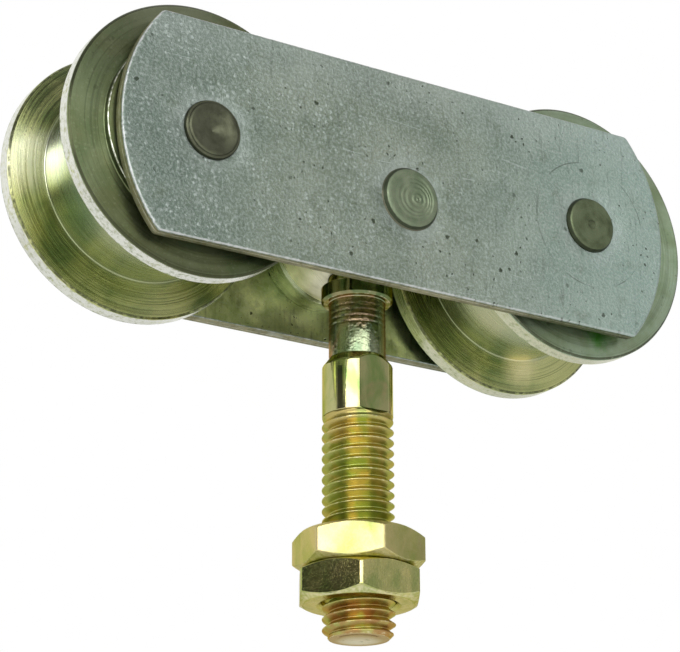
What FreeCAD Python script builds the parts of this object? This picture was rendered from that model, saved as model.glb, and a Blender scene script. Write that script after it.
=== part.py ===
import FreeCAD, Part
import math
import os

from FreeCAD import Vector

# Sliding door hanger roller, in millimetres: +X along the track, +Z up, front plate towards -Y.
# The origin is on the track's running plane, below the middle of the hanger.

# Wheels
wheel_diameter = 38.8
wheel_width = 21.3
rim_width = 2.75
rim_chamfer = 0.3
groove_floor_diameter = 28.7
groove_corner_radius = 0.6
flange_lean = 1.0
hub_boss_diameter = 28.4
hub_boss_height = 1.0
hub_boss_chamfer = 0.25

# Side plates
plate_height = 31.6
plate_thickness = 2.0
plate_overhang = 13.3
plate_end_rise = 5.8
plate_edge_radius = 0.3
plate_side_clearance = 0.35

# Axle pins and riveted heads
axle_diameter = 8.0
axle_spigot_diameter = 6.4
axle_head_diameter = 8.4
rivet_head_height = 0.85
rivet_rim_height = 0.45
rivet_crown_share = 0.72
hole_fit = 0.05

# Ball bearings in the wheels
bearing_outer_diameter = 22.0
bearing_width = 7.0
ball_diameter = 3.969
ball_count = 7
race_clearance = 0.03
shoulder_share = 0.36
push_fit = 0.01
shield_thickness = 0.3
shield_seat = 0.3
shield_inset = 0.2
shield_gap = 0.3
cage_thickness = 1.2
cage_width = 5.0
cage_ball_clearance = 0.1
bearing_shoulder = 1.6
spacer_wall = 1.8
spacer_fit = 0.05

# Cross bar
barrel_diameter = 16.8
barrel_length = 16.5
barrel_chamfer = 0.45
barrel_wheel_clearance = 3.5
cross_bar_drop = 2.87
journal_diameter = 10.0
cross_bar_spigot_diameter = 7.0
cross_bar_head_diameter = 9.3
washer_seat_depth = 3.0
washer_diameter = 12.6
washer_thickness = 1.5
washer_pocket_clearance = 0.3

# Pendant bolt
spigot_diameter = 8.0
swivel_clearance = 0.1
head_diameter = 11.4
head_height = 2.2
head_crown = 0.8
head_seat_gap = 0.02
collar_gap = 0.45
collar_diameter = 10.1
collar_height = 2.3
collar_chamfer = 0.35
neck_diameter = 8.0
neck_length = 8.3
shoulder_height = 1.25
shank_diameter = 9.9
shank_length = 7.3
flats_across = 8.6
flats_runout = 0.4
thread_diameter = 10.0
thread_length = 31.1
thread_end_chamfer = 0.9

# Thin hexagon nuts
nut_across_flats = 16.0
nut_height = 5.0
nut_chamfer_angle = 30.0
nut_flat_land = 0.4
nut_thread_clearance = 0.06
nut_mouth_chamfer = 0.6
nut_gap = 0.02
thread_stub = 4.6
upper_nut_turn = -40.2
lower_nut_turn = 0.0

# Places that follow from the sizes above
wheel_radius = wheel_diameter / 2
hub_boss_y = wheel_width / 2 + hub_boss_height
plate_inner_y = hub_boss_y + plate_side_clearance
plate_outer_y = plate_inner_y + plate_thickness
axle_z = wheel_radius
axle_x = (wheel_diameter + barrel_diameter) / 2 + barrel_wheel_clearance
cross_bar_z = axle_z - cross_bar_drop
axle_radius = axle_diameter / 2
pitch_radius = (bearing_outer_diameter + axle_diameter) / 4
race_radius = ball_diameter / 2 + race_clearance
inner_shoulder_radius = pitch_radius - shoulder_share * ball_diameter
outer_shoulder_radius = pitch_radius + shoulder_share * ball_diameter
shield_outer_radius = outer_shoulder_radius + shield_seat
collar_top_z = cross_bar_z - barrel_diameter / 2 - collar_gap
neck_top_z = collar_top_z - collar_height
shoulder_top_z = neck_top_z - neck_length
shank_top_z = shoulder_top_z - shoulder_height
thread_top_z = shank_top_z - shank_length
bolt_end_z = thread_top_z - thread_length
washer_seat_z = cross_bar_z + barrel_diameter / 2 - washer_seat_depth
head_seat_z = washer_seat_z + washer_thickness + head_seat_gap
lower_nut_z = bolt_end_z + thread_stub
upper_nut_z = lower_nut_z + nut_height + nut_gap

sides = {"left": -1, "right": 1}
ends = {"front": -1, "rear": 1}


def revolve_about_y(outline, x=0.0, z=0.0):
    """Solid of revolution about a Y axis through x, z, from (radius, y) points."""
    points = [Vector(radius, y, 0) for radius, y in outline]
    face = Part.Face(Part.makePolygon(points + points[:1]))
    solid = face.revolve(Vector(0, 0, 0), Vector(0, 1, 0), 360)
    solid.translate(Vector(x, 0, z))
    return solid


def revolve_about_z(outline):
    """Solid of revolution about the Z axis, from (radius, z) points."""
    points = [Vector(radius, 0, z) for radius, z in outline]
    face = Part.Face(Part.makePolygon(points + points[:1]))
    return face.revolve(Vector(0, 0, 0), Vector(0, 0, 1), 360)


def ring(outer_radius, inner_radius, y_from, y_to, x=0.0, z=0.0):
    """Plain ring about a Y axis."""
    outline = [(inner_radius, y_from), (outer_radius, y_from), (outer_radius, y_to), (inner_radius, y_to)]
    return revolve_about_y(outline, x, z)


def circle_edges(solid, radius, tolerance=1e-4):
    """Round edges of one radius."""
    return [
        edge
        for edge in solid.Edges
        if isinstance(edge.Curve, Part.Circle) and abs(edge.Curve.Radius - radius) < tolerance
    ]


def rivet_outline(body_radius, body_y, spigot_radius, head_radius):
    """Half section of a pin with a shoulder and a spun head at both ends, as (radius, y) points."""
    rim_y = plate_outer_y + rivet_rim_height
    crown_y = plate_outer_y + rivet_head_height
    half = [
        (body_radius, body_y),
        (spigot_radius, body_y),
        (spigot_radius, plate_outer_y),
        (head_radius, plate_outer_y),
        (head_radius, rim_y),
        (head_radius * rivet_crown_share, crown_y),
        (0, crown_y),
    ]
    mirrored = [(radius, -y) for radius, y in reversed(half)]
    return mirrored + half


def side_plate(end):
    """Flat plate with rounded ends and three rivet holes; its outer edge is slightly rounded."""
    corner_x = axle_x + plate_overhang - plate_end_rise
    tip_x = axle_x + plate_overhang
    top = plate_height / 2
    y = plate_inner_y
    corners = [Vector(sx * corner_x, y, sz * top) for sx, sz in ((-1, -1), (1, -1), (1, 1), (-1, 1))]
    outline = Part.Wire([
        Part.LineSegment(corners[0], corners[1]).toShape(),
        Part.Arc(corners[1], Vector(tip_x, y, 0), corners[2]).toShape(),
        Part.LineSegment(corners[2], corners[3]).toShape(),
        Part.Arc(corners[3], Vector(-tip_x, y, 0), corners[0]).toShape(),
    ])
    plate = Part.Face(outline).extrude(Vector(0, plate_thickness, 0))
    outer_edges = [edge for edge in plate.Edges if all(abs(v.Y - plate_outer_y) < 1e-6 for v in edge.Vertexes)]
    plate = plate.makeFillet(plate_edge_radius, outer_edges)
    plate.translate(Vector(0, 0, axle_z))
    holes = [(side * axle_x, axle_z, axle_spigot_diameter) for side in sides.values()]
    holes.append((0, cross_bar_z, cross_bar_spigot_diameter))
    for x, z, diameter in holes:
        start = Vector(x, plate_inner_y - plate_thickness, z)
        plate = plate.cut(Part.makeCylinder(diameter / 2 + hole_fit, plate_thickness * 3, start, Vector(0, 1, 0)))
    if end < 0:
        plate = plate.mirror(Vector(0, 0, 0), Vector(0, 1, 0))
    return plate


def wheel(x):
    """Turned wheel: two rims, a deep groove, a boss on each face and a pocket for the bearing."""
    face_y = wheel_width / 2
    rim_y = face_y - rim_width
    floor_y = rim_y - flange_lean
    floor_radius = groove_floor_diameter / 2
    boss_radius = hub_boss_diameter / 2
    pocket_radius = bearing_outer_diameter / 2
    outer = [
        (boss_radius - hub_boss_chamfer, hub_boss_y),
        (boss_radius, hub_boss_y - hub_boss_chamfer),
        (boss_radius, face_y),
        (wheel_radius - rim_chamfer, face_y),
        (wheel_radius, face_y - rim_chamfer),
        (wheel_radius, rim_y + rim_chamfer),
        (wheel_radius - rim_chamfer, rim_y),
        (floor_radius, floor_y),
    ]
    outline = [(pocket_radius, -hub_boss_y)]
    outline += [(radius, -y) for radius, y in outer]
    outline += list(reversed(outer))
    outline += [
        (pocket_radius - bearing_shoulder, hub_boss_y),
        (pocket_radius - bearing_shoulder, bearing_width / 2),
        (pocket_radius, bearing_width / 2),
    ]
    solid = revolve_about_y(outline)
    solid = solid.makeFillet(groove_corner_radius, circle_edges(solid, floor_radius))
    solid.translate(Vector(x, 0, axle_z))
    return solid


def bearing_race():
    """Ring of round section that the balls run in."""
    return Part.makeTorus(pitch_radius, race_radius, Vector(0, 0, 0), Vector(0, 1, 0))


def bearing_outer_ring(x):
    """Outer ring with its race and a seat for a shield on each side."""
    half = bearing_width / 2
    seat_y = half - shield_inset - shield_thickness
    outside = bearing_outer_diameter / 2 - push_fit
    solid = revolve_about_y([
        (outside, -half),
        (outside, half),
        (shield_outer_radius, half),
        (shield_outer_radius, seat_y),
        (outer_shoulder_radius, seat_y),
        (outer_shoulder_radius, -seat_y),
        (shield_outer_radius, -seat_y),
        (shield_outer_radius, -half),
    ]).cut(bearing_race())
    solid.translate(Vector(x, 0, axle_z))
    return solid


def bearing_inner_ring(x):
    """Inner ring with its race, on the axle pin."""
    half = bearing_width / 2
    solid = ring(inner_shoulder_radius, axle_radius + push_fit, -half, half).cut(bearing_race())
    solid.translate(Vector(x, 0, axle_z))
    return solid


def ball_centres(x):
    """Centres of the balls around one axle."""
    step = 2 * math.pi / ball_count
    return [
        Vector(x + pitch_radius * math.cos(n * step), 0, axle_z + pitch_radius * math.sin(n * step))
        for n in range(ball_count)
    ]


def bearing_balls(x):
    """All balls of one bearing, as separate solids."""
    return Part.makeCompound([Part.makeSphere(ball_diameter / 2, centre) for centre in ball_centres(x)])


def bearing_cage(x):
    """Ring that keeps the balls apart, with a round pocket for each."""
    half = cage_width / 2
    cage = ring(pitch_radius + cage_thickness / 2, pitch_radius - cage_thickness / 2, -half, half, x, axle_z)
    for centre in ball_centres(x):
        cage = cage.cut(Part.makeSphere(ball_diameter / 2 + cage_ball_clearance, centre))
    return cage


def bearing_shield(x, end):
    """Thin ring in the outer ring's seat, clear of the inner ring."""
    outer_y = bearing_width / 2 - shield_inset
    inner_y = outer_y - shield_thickness
    low, high = sorted((end * inner_y, end * outer_y))
    return ring(shield_outer_radius - push_fit, inner_shoulder_radius + shield_gap, low, high, x, axle_z)


def axle_pin(x):
    """Pin with a shoulder against each plate and a spun head outside it."""
    outline = rivet_outline(axle_radius, plate_inner_y, axle_spigot_diameter / 2, axle_head_diameter / 2)
    return revolve_about_y(outline, x, axle_z)


def axle_spacer(x, end):
    """Sleeve between the bearing's inner ring and a plate."""
    low, high = sorted((end * bearing_width / 2, end * plate_inner_y))
    bore = axle_radius + spacer_fit
    return ring(axle_radius + spacer_wall, bore, low, high, x, axle_z)


def cross_bar():
    """Barrel with a journal, a spigot and a spun head at each end, bored for the pendant bolt."""
    barrel_radius = barrel_diameter / 2
    barrel_y = barrel_length / 2
    pin = revolve_about_y(rivet_outline(
        journal_diameter / 2, plate_inner_y, cross_bar_spigot_diameter / 2, cross_bar_head_diameter / 2
    ))
    barrel = revolve_about_y([
        (0, -barrel_y),
        (barrel_radius - barrel_chamfer, -barrel_y),
        (barrel_radius, -barrel_y + barrel_chamfer),
        (barrel_radius, barrel_y - barrel_chamfer),
        (barrel_radius - barrel_chamfer, barrel_y),
        (0, barrel_y),
    ])
    bar = pin.fuse(barrel).removeSplitter()
    bar.translate(Vector(0, 0, cross_bar_z))
    bore_radius = spigot_diameter / 2 + swivel_clearance
    pocket_radius = washer_diameter / 2 + washer_pocket_clearance
    bore = Part.makeCylinder(bore_radius, barrel_diameter * 2, Vector(0, 0, cross_bar_z - barrel_diameter))
    pocket = Part.makeCylinder(pocket_radius, barrel_diameter, Vector(0, 0, washer_seat_z))
    return bar.cut(bore).cut(pocket)


def cross_bar_spacer(end):
    """Chamfered ring on the cross bar's journal, between barrel and plate."""
    near_y = barrel_length / 2
    radius = barrel_diameter / 2
    bore = journal_diameter / 2 + spacer_fit
    outline = [
        (bore, near_y),
        (radius - barrel_chamfer, near_y),
        (radius, near_y + barrel_chamfer),
        (radius, plate_inner_y),
        (bore, plate_inner_y),
    ]
    return revolve_about_y([(r, end * y) for r, y in outline], 0, cross_bar_z)


def pendant_washer():
    """Flat ring in the cross bar's pocket, under the bolt's head."""
    washer = Part.makeCylinder(washer_diameter / 2, washer_thickness, Vector(0, 0, washer_seat_z))
    bore = Part.makeCylinder(
        spigot_diameter / 2 + swivel_clearance, washer_thickness * 3, Vector(0, 0, washer_seat_z - washer_thickness)
    )
    return washer.cut(bore)


def pendant_bolt():
    """Bolt that hangs in the cross bar: head, spigot, collar, neck, spanner flats and thread."""
    collar_radius = collar_diameter / 2
    neck_radius = neck_diameter / 2
    shank_radius = shank_diameter / 2
    thread_radius = thread_diameter / 2
    solid = revolve_about_z([
        (0, head_seat_z + head_height),
        (head_diameter / 2 - head_crown, head_seat_z + head_height),
        (head_diameter / 2, head_seat_z + head_height - head_crown),
        (head_diameter / 2, head_seat_z),
        (spigot_diameter / 2, head_seat_z),
        (spigot_diameter / 2, collar_top_z),
        (collar_radius, collar_top_z),
        (collar_radius, neck_top_z + collar_chamfer),
        (collar_radius - collar_chamfer, neck_top_z),
        (neck_radius, neck_top_z),
        (neck_radius, shoulder_top_z),
        (shank_radius, shank_top_z),
        (shank_radius, thread_top_z),
        (thread_radius, thread_top_z),
        (thread_radius, bolt_end_z + thread_end_chamfer),
        (thread_radius - thread_end_chamfer, bolt_end_z),
        (0, bolt_end_z),
    ])
    flat_height = shoulder_top_z - thread_top_z + flats_runout
    for end in ends.values():
        low_y = min(end * flats_across / 2, end * shank_diameter)
        solid = solid.cut(Part.makeBox(
            shank_diameter * 2,
            shank_diameter - flats_across / 2,
            flat_height,
            Vector(-shank_diameter, low_y, thread_top_z - flats_runout),
        ))
    return solid


def thin_nut(z, turn):
    """Thin hexagon nut with chamfered corners on both faces; turn is the angle of a flat from -Y."""
    corner_radius = nut_across_flats / 2 / math.cos(math.pi / 6)
    face_radius = nut_across_flats / 2 - nut_flat_land
    drop = (corner_radius - face_radius) * math.tan(math.radians(nut_chamfer_angle))
    bore_radius = thread_diameter / 2 + nut_thread_clearance
    mouth_radius = bore_radius + nut_mouth_chamfer
    mouth_drop = nut_mouth_chamfer * math.tan(math.radians(nut_chamfer_angle))
    corners = [
        Vector(corner_radius * math.cos(n * math.pi / 3), corner_radius * math.sin(n * math.pi / 3), 0)
        for n in range(6)
    ]
    hexagon = Part.Face(Part.makePolygon(corners + corners[:1])).extrude(Vector(0, 0, nut_height))
    envelope = revolve_about_z([
        (bore_radius, mouth_drop),
        (mouth_radius, 0),
        (face_radius, 0),
        (corner_radius, drop),
        (corner_radius, nut_height - drop),
        (face_radius, nut_height),
        (mouth_radius, nut_height),
        (bore_radius, nut_height - mouth_drop),
    ])
    nut = hexagon.common(envelope)
    nut.rotate(Vector(0, 0, 0), Vector(0, 0, 1), turn)
    nut.translate(Vector(0, 0, z))
    return nut


def all_parts():
    """Every node's name with its shape."""
    parts = {
        "cross_bar": cross_bar(),
        "pendant_washer": pendant_washer(),
        "pendant_bolt": pendant_bolt(),
        "upper_nut": thin_nut(upper_nut_z, upper_nut_turn),
        "lower_nut": thin_nut(lower_nut_z, lower_nut_turn),
    }
    for end_name, end in ends.items():
        parts[f"{end_name}_side_plate"] = side_plate(end)
        parts[f"{end_name}_cross_bar_spacer"] = cross_bar_spacer(end)
    for side_name, side in sides.items():
        x = side * axle_x
        parts[f"{side_name}_wheel"] = wheel(x)
        parts[f"{side_name}_axle_pin"] = axle_pin(x)
        parts[f"{side_name}_bearing_outer_ring"] = bearing_outer_ring(x)
        parts[f"{side_name}_bearing_inner_ring"] = bearing_inner_ring(x)
        parts[f"{side_name}_bearing_balls"] = bearing_balls(x)
        parts[f"{side_name}_bearing_cage"] = bearing_cage(x)
        for end_name, end in ends.items():
            parts[f"{side_name}_bearing_{end_name}_shield"] = bearing_shield(x, end)
            parts[f"{side_name}_{end_name}_axle_spacer"] = axle_spacer(x, end)
    return parts


os.makedirs("parts", exist_ok=True)
for node, shape in all_parts().items():
    shape.exportStep(f"parts/{node}.step")
    print(node, len(shape.Solids), round(shape.Volume, 3), shape.isValid())
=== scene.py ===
import math
import bmesh
import bpy
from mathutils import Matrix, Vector
from mathutils.geometry import tessellate_polygon


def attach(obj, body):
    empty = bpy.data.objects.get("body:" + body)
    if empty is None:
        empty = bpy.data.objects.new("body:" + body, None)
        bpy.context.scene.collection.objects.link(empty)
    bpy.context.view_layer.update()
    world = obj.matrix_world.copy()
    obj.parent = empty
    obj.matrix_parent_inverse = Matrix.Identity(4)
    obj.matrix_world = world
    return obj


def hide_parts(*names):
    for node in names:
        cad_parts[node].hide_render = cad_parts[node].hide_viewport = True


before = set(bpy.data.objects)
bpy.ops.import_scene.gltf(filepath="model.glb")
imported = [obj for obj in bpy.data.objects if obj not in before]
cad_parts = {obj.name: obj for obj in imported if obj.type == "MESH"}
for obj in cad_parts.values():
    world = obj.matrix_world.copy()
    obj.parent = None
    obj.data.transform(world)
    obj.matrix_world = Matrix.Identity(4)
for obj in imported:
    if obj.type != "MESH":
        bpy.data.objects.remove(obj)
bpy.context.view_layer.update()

mm = 0.001
weld, sliver = 2e-6, 1e-7


# one node with its inputs given in order or by name, as sockets or as plain values
def addNode(tree, kind, inputs=(), **settings):
    node = tree.nodes.new(kind)
    for key, value in settings.items():
        setattr(node, key, value)
    pairs = inputs.items() if isinstance(inputs, dict) else enumerate(inputs)
    for key, value in pairs:
        if isinstance(value, bpy.types.NodeSocket):
            tree.links.new(value, node.inputs[key])
        else:
            node.inputs[key].default_value = value
    return node


def result(tree, kind, inputs=(), **settings):
    return addNode(tree, kind, inputs, **settings).outputs[0]


def calc(tree, operation, *values, clamp=False):
    return result(tree, "ShaderNodeMath", values, operation=operation, use_clamp=clamp)


def plus(tree, *values, clamp=False):
    return calc(tree, "ADD", *values, clamp=clamp)


def minus(tree, *values):
    return calc(tree, "SUBTRACT", *values)


def times(tree, *values):
    return calc(tree, "MULTIPLY", *values)


# the first two values multiplied, and the third added
def timesPlus(tree, *values):
    return calc(tree, "MULTIPLY_ADD", *values)


def larger(tree, *values):
    return calc(tree, "MAXIMUM", *values)


def vectorCalc(tree, operation, *values):
    made = addNode(tree, "ShaderNodeVectorMath", values, operation=operation).outputs
    return made["Value" if operation in ("LENGTH", "DISTANCE") else "Vector"]


def splitVector(tree, vector):
    return addNode(tree, "ShaderNodeSeparateXYZ", [vector]).outputs


def joinVector(tree, *parts):
    return result(tree, "ShaderNodeCombineXYZ", parts)


def floats(*names):
    return dict.fromkeys(names, "Float")


# a node tree with named inputs and outputs, and the sockets that its inputs give
def startGroup(name, kind, inputs, outputs):
    tree = bpy.data.node_groups.new(name, kind)
    for way, sockets in (("INPUT", inputs), ("OUTPUT", outputs)):
        for label, socket in sockets.items():
            tree.interface.new_socket(label, in_out=way, socket_type="NodeSocket" + socket)
    return tree, addNode(tree, "NodeGroupInput").outputs


def endGroup(tree, *results):
    addNode(tree, "NodeGroupOutput", results)
    return tree


def startShape(name, **inputs):
    shape = {"Geometry": "Geometry"}
    inputs = {**shape, "Segments": "Int", **inputs, "Material": "Material"}
    return startGroup(name, "GeometryNodeTree", inputs, shape)


# where a grid's point lies: its row along the outline and its share of the way round
def gridPlace(tree, given):
    size = addNode(tree, "GeometryNodeAttributeDomainSize", [given["Geometry"]], component="MESH").outputs
    columns = plus(tree, given["Segments"], 1)
    grid = result(tree, "GeometryNodeMeshGrid", {"Vertices X": size["Point Count"], "Vertices Y": columns})
    index = result(tree, "GeometryNodeInputIndex")
    row = calc(tree, "FLOOR", calc(tree, "DIVIDE", plus(tree, index, 0.5), columns))
    column = minus(tree, index, times(tree, row, columns))
    return grid, row, calc(tree, "DIVIDE", column, given["Segments"])


def sampleOutline(tree, given, row, value, kind):
    values = {"Geometry": given["Geometry"], "Value": value, "Index": row}
    return result(tree, "GeometryNodeSampleIndex", values, data_type=kind)


def outlineValue(tree, given, row, name):
    field = result(tree, "GeometryNodeInputNamedAttribute", {"Name": name}, data_type="FLOAT")
    return sampleOutline(tree, given, row, field, "FLOAT")


def outlinePlace(tree, given, row):
    field = result(tree, "GeometryNodeInputPosition")
    return splitVector(tree, sampleOutline(tree, given, row, field, "FLOAT_VECTOR"))


def roundAxis(tree, radius, share):
    angle = times(tree, share, math.tau)
    return times(tree, radius, calc(tree, "COSINE", angle)), times(tree, radius, calc(tree, "SINE", angle))


def endShape(tree, given, mesh, row, place):
    wearAndPaintedLight = outlineValue(tree, given, row, "wearAndPaintedLight")
    mesh = result(tree, "GeometryNodeSetPosition", {"Geometry": mesh, "Position": place})
    mesh = result(tree, "GeometryNodeStoreNamedAttribute", {"Geometry": mesh, "Name": "wearAndPaintedLight", "Value": wearAndPaintedLight},
                  data_type="FLOAT", domain="POINT")
    mesh = result(tree, "GeometryNodeMergeByDistance", {"Geometry": mesh, "Distance": weld})
    mesh = result(tree, "GeometryNodeSetShadeSmooth", {"Geometry": mesh})
    mesh = result(tree, "GeometryNodeRealizeInstances", [mesh])
    mesh = result(tree, "GeometryNodeSetMaterial", {"Geometry": mesh, "Material": given["Material"]})
    return endGroup(tree, mesh)


# an outline turned about an axis, with hexagon flats where the outline's reach is 1
def makeTurnedTree():
    inputs = {"Centre": "Vector", "Lying": "Bool", **floats("Half Across Flats", "Corner Limit", "Turn")}
    tree, given = startShape("turnedOnLathe", **inputs)
    mesh, row, share = gridPlace(tree, given)
    outline = outlinePlace(tree, given, row)
    flats = given["Half Across Flats"]
    turned = minus(tree, times(tree, share, math.tau), given["Turn"])
    side = calc(tree, "MODULO", plus(tree, turned, math.pi / 6 + math.tau), math.pi / 3)
    corner = calc(tree, "DIVIDE", flats, calc(tree, "COSINE", minus(tree, side, math.pi / 6)))
    beyond = minus(tree, calc(tree, "MINIMUM", corner, given["Corner Limit"]), flats)
    radius = timesPlus(tree, outlineValue(tree, given, row, "reach"), beyond, outline["X"])
    along = timesPlus(tree, outlineValue(tree, given, row, "fall"), beyond, outline["Z"])
    across, upward = roundAxis(tree, radius, share)
    ways = {"Switch": given["Lying"], "False": joinVector(tree, across, upward, along),
            "True": joinVector(tree, across, along, upward)}
    chosen = result(tree, "GeometryNodeSwitch", ways, input_type="VECTOR")
    return endShape(tree, given, mesh, row, vectorCalc(tree, "ADD", chosen, given["Centre"]))


# a thread outline carried along a helix, fading into the shank above and chamfered at the end
def makeThreadTree():
    tree, given = startShape("rolledThread", **floats("Pitch", "Low", "High", "Crest Radius", "Top Radius",
                                                      "Tip Radius", "Fade Length", "Cap Slope"))
    low, high, top, slope = given["Low"], given["High"], given["Top Radius"], given["Cap Slope"]
    mesh, row, share = gridPlace(tree, given)
    outline = outlinePlace(tree, given, row)
    rise = timesPlus(tree, given["Pitch"], share, outline["Z"])
    fade = calc(tree, "DIVIDE", minus(tree, high, rise), given["Fade Length"], clamp=True)
    crest = timesPlus(tree, minus(tree, given["Crest Radius"], top), fade, top)
    cut = minus(tree, crest, times(tree, outline["X"], fade))
    capped = minus(tree, cut, times(tree, larger(tree, minus(tree, rise, high), 0), slope))
    tip = plus(tree, larger(tree, minus(tree, rise, low), 0), given["Tip Radius"])
    tip = minus(tree, tip, times(tree, larger(tree, minus(tree, low, rise), 0), slope))
    radius = larger(tree, calc(tree, "MINIMUM", capped, tip), 0)
    height = calc(tree, "MINIMUM", larger(tree, rise, low), high)
    return endShape(tree, given, mesh, row, joinVector(tree, *roundAxis(tree, radius, share), height))


turnedTree = makeTurnedTree()
threadTree = makeThreadTree()
print("node trees:", turnedTree.name, threadTree.name)


# a chain of outline points, each with its wear and painted light, and what it does on hexagon flats
def outlineMesh(name, points):
    mesh = bpy.data.meshes.new(name)
    chain = [(i, i + 1) for i in range(len(points) - 1)]
    mesh.from_pydata([(p[0] * mm, 0, p[1] * mm) for p in points], chain, [])
    for slot, label in enumerate(("wearAndPaintedLight", "reach", "fall"), start=2):
        layer = mesh.attributes.new(label, "FLOAT", "POINT")
        layer.data.foreach_set("value", [p[slot] if len(p) > slot else 0.0 for p in points])
    return mesh


cornerRule = {"steps": 5, "support": 0.05, "most": 0.42}


# corners made into a smooth outline, each with its radius, its place along the axis, its rounding,
# the wear and painted light of its edge and that of the face that follows
def roundCorners(corners):
    steps, support, most = cornerRule["steps"], cornerRule["support"], cornerRule["most"]
    clear = support * 3
    flat = [Vector((c[0], c[1])) for c in corners]
    out = [(flat[0].x, flat[0].y, corners[0][4])]
    for i in range(1, len(corners) - 1):
        here, rounding, edge = flat[i], corners[i][2], corners[i][3]
        toLast, toNext = flat[i - 1] - here, flat[i + 1] - here
        lastLength, nextLength = toLast.length, toNext.length
        toLast.normalize()
        toNext.normalize()
        half = toLast.angle(toNext) / 2
        reach = min(rounding / math.tan(half), lastLength * most, nextLength * most)
        start, end = here + toLast * reach, here + toNext * reach
        if lastLength > reach + clear:
            lead = start + toLast * support
            out.append((lead.x, lead.y, corners[i - 1][4]))
        bulge = reach * math.tan(half)
        middle = here + (toLast + toNext).normalized() * (bulge / math.sin(half))
        for n in range(steps + 1):
            spoke = (start - middle).normalized().slerp((end - middle).normalized(), n / steps)
            point = middle + spoke * bulge
            out.append((point.x, point.y, edge))
        if nextLength > reach + clear:
            trail = end + toNext * support
            out.append((trail.x, trail.y, corners[i][4]))
    out.append((flat[-1].x, flat[-1].y, corners[-1][4]))
    return out


def addObject(name, data):
    made = bpy.data.objects.new(name, data)
    bpy.context.scene.collection.objects.link(made)
    return made


def shapedMesh(holder):
    return bpy.data.meshes.new_from_object(holder.evaluated_get(bpy.context.evaluated_depsgraph_get()))


def openMesh(*meshes):
    work = bmesh.new()
    for mesh in meshes:
        work.from_mesh(mesh)
    return work


def closeMesh(work, mesh):
    work.to_mesh(mesh)
    work.free()
    return mesh


def smoothFaces(work):
    for face in work.faces:
        face.smooth = True


# smooth faces with the edges over an angle kept sharp
def smoothBelow(work, degrees):
    smoothFaces(work)
    for edge in work.edges:
        edge.smooth = len(edge.link_faces) != 2 or edge.calc_face_angle(0) < math.radians(degrees)


# runs a tree on an outline and keeps the result as a plain mesh with outward faces
def runTree(name, tree, points, values):
    maker = addObject(name + "Outline", outlineMesh(name, points))
    modifier = maker.modifiers.new("shape", "NODES")
    modifier.node_group = tree
    for item in tree.interface.items_tree:
        if item.in_out == "INPUT" and item.name in values:
            modifier[item.identifier] = values[item.name]
    mesh = shapedMesh(maker)
    bpy.data.objects.remove(maker)
    mesh.name = name
    work = openMesh(mesh)
    bmesh.ops.remove_doubles(work, verts=work.verts, dist=weld)
    bmesh.ops.dissolve_degenerate(work, edges=work.edges, dist=sliver)
    bmesh.ops.recalc_face_normals(work, faces=work.faces)
    smoothFaces(work)
    return closeMesh(work, mesh)


def addPiece(name, mesh, body, slot, *nodes):
    piece = addObject(name, mesh)
    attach(piece, body)
    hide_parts(*nodes)
    return piece


def turn(name, points, material, segments, centre=(0, 0, 0), lying=True, hexagon=None):
    values = {"Segments": segments, "Centre": [c * mm for c in centre], "Lying": lying, "Material": material}
    return runTree(name, turnedTree, points, {**values, **(hexagon or {})})


# where the lathe-turned pieces sit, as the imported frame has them
axleX, axleZ, crossZ = 31.3, 19.4, 16.53
plateFace, plateReach = 14.0, 44.6
wheelCentres = {"left": (-axleX, 0, axleZ), "right": (axleX, 0, axleZ)}
crossCentre = (0, 0, crossZ)


def startMaterial(name, **values):
    made = bpy.data.materials.new(name)
    made.use_nodes = True
    shader = made.node_tree.nodes["Principled BSDF"]
    for key, value in values.items():
        shader.inputs[key.replace("_", " ")].default_value = value
    return made, made.node_tree, shader


def startLook(name, inputs, outputs):
    return startGroup(name, "ShaderNodeTree", {"Vector": "Vector", **inputs}, outputs)


def fillGroup(tree, group, vector, inputs):
    return addNode(tree, "ShaderNodeGroup", {"Vector": vector, **inputs}, node_tree=group).outputs


def noiseOf(tree, vector, scale, detail=2.0, rough=0.5, distort=0.0):
    values = {"Vector": vector, "Scale": scale, "Detail": detail, "Roughness": rough, "Distortion": distort}
    return result(tree, "ShaderNodeTexNoise", values)


def ramp(tree, value, low, high, toLow=0.0, toHigh=1.0):
    values = {"Value": value, "From Min": low, "From Max": high, "To Min": toLow, "To Max": toHigh}
    return result(tree, "ShaderNodeMapRange", values, interpolation_type="SMOOTHSTEP")


# patches of noise, graded by scale, detail, roughness and the two limits
def patches(tree, vector, grade, toLow=0.0, toHigh=1.0):
    scale, detail, rough, low, high = grade
    return ramp(tree, noiseOf(tree, vector, scale, detail, rough), low, high, toLow, toHigh)


def blend(tree, share, under, over):
    return addNode(tree, "ShaderNodeMix", {0: share, 6: under, 7: over}, data_type="RGBA").outputs[2]


# a tone over a colour where a mask shows, at a share of its strength
def lay(tree, colour, tone, mask, share):
    return blend(tree, times(tree, mask, share), colour, tone)


def stretch(tree, vector, scale, turn=(0, 0, 0), place=(0, 0, 0)):
    values = {"Vector": vector, "Location": place, "Rotation": turn, "Scale": scale}
    return result(tree, "ShaderNodeMapping", values)


mottleRule = {"blotch": (5, 0.62, 0.30, 0.70), "speck": (3, 0.65, 0.38, 0.68), "grain": (3, 0.6),
              "grainsPerSpeck": 1.3, "cluster": (3, 0.6, 0.56, 0.70), "dot": (2, 0.55, 0.55, 0.66),
              "dotsPerPit": 9.0}


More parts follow.
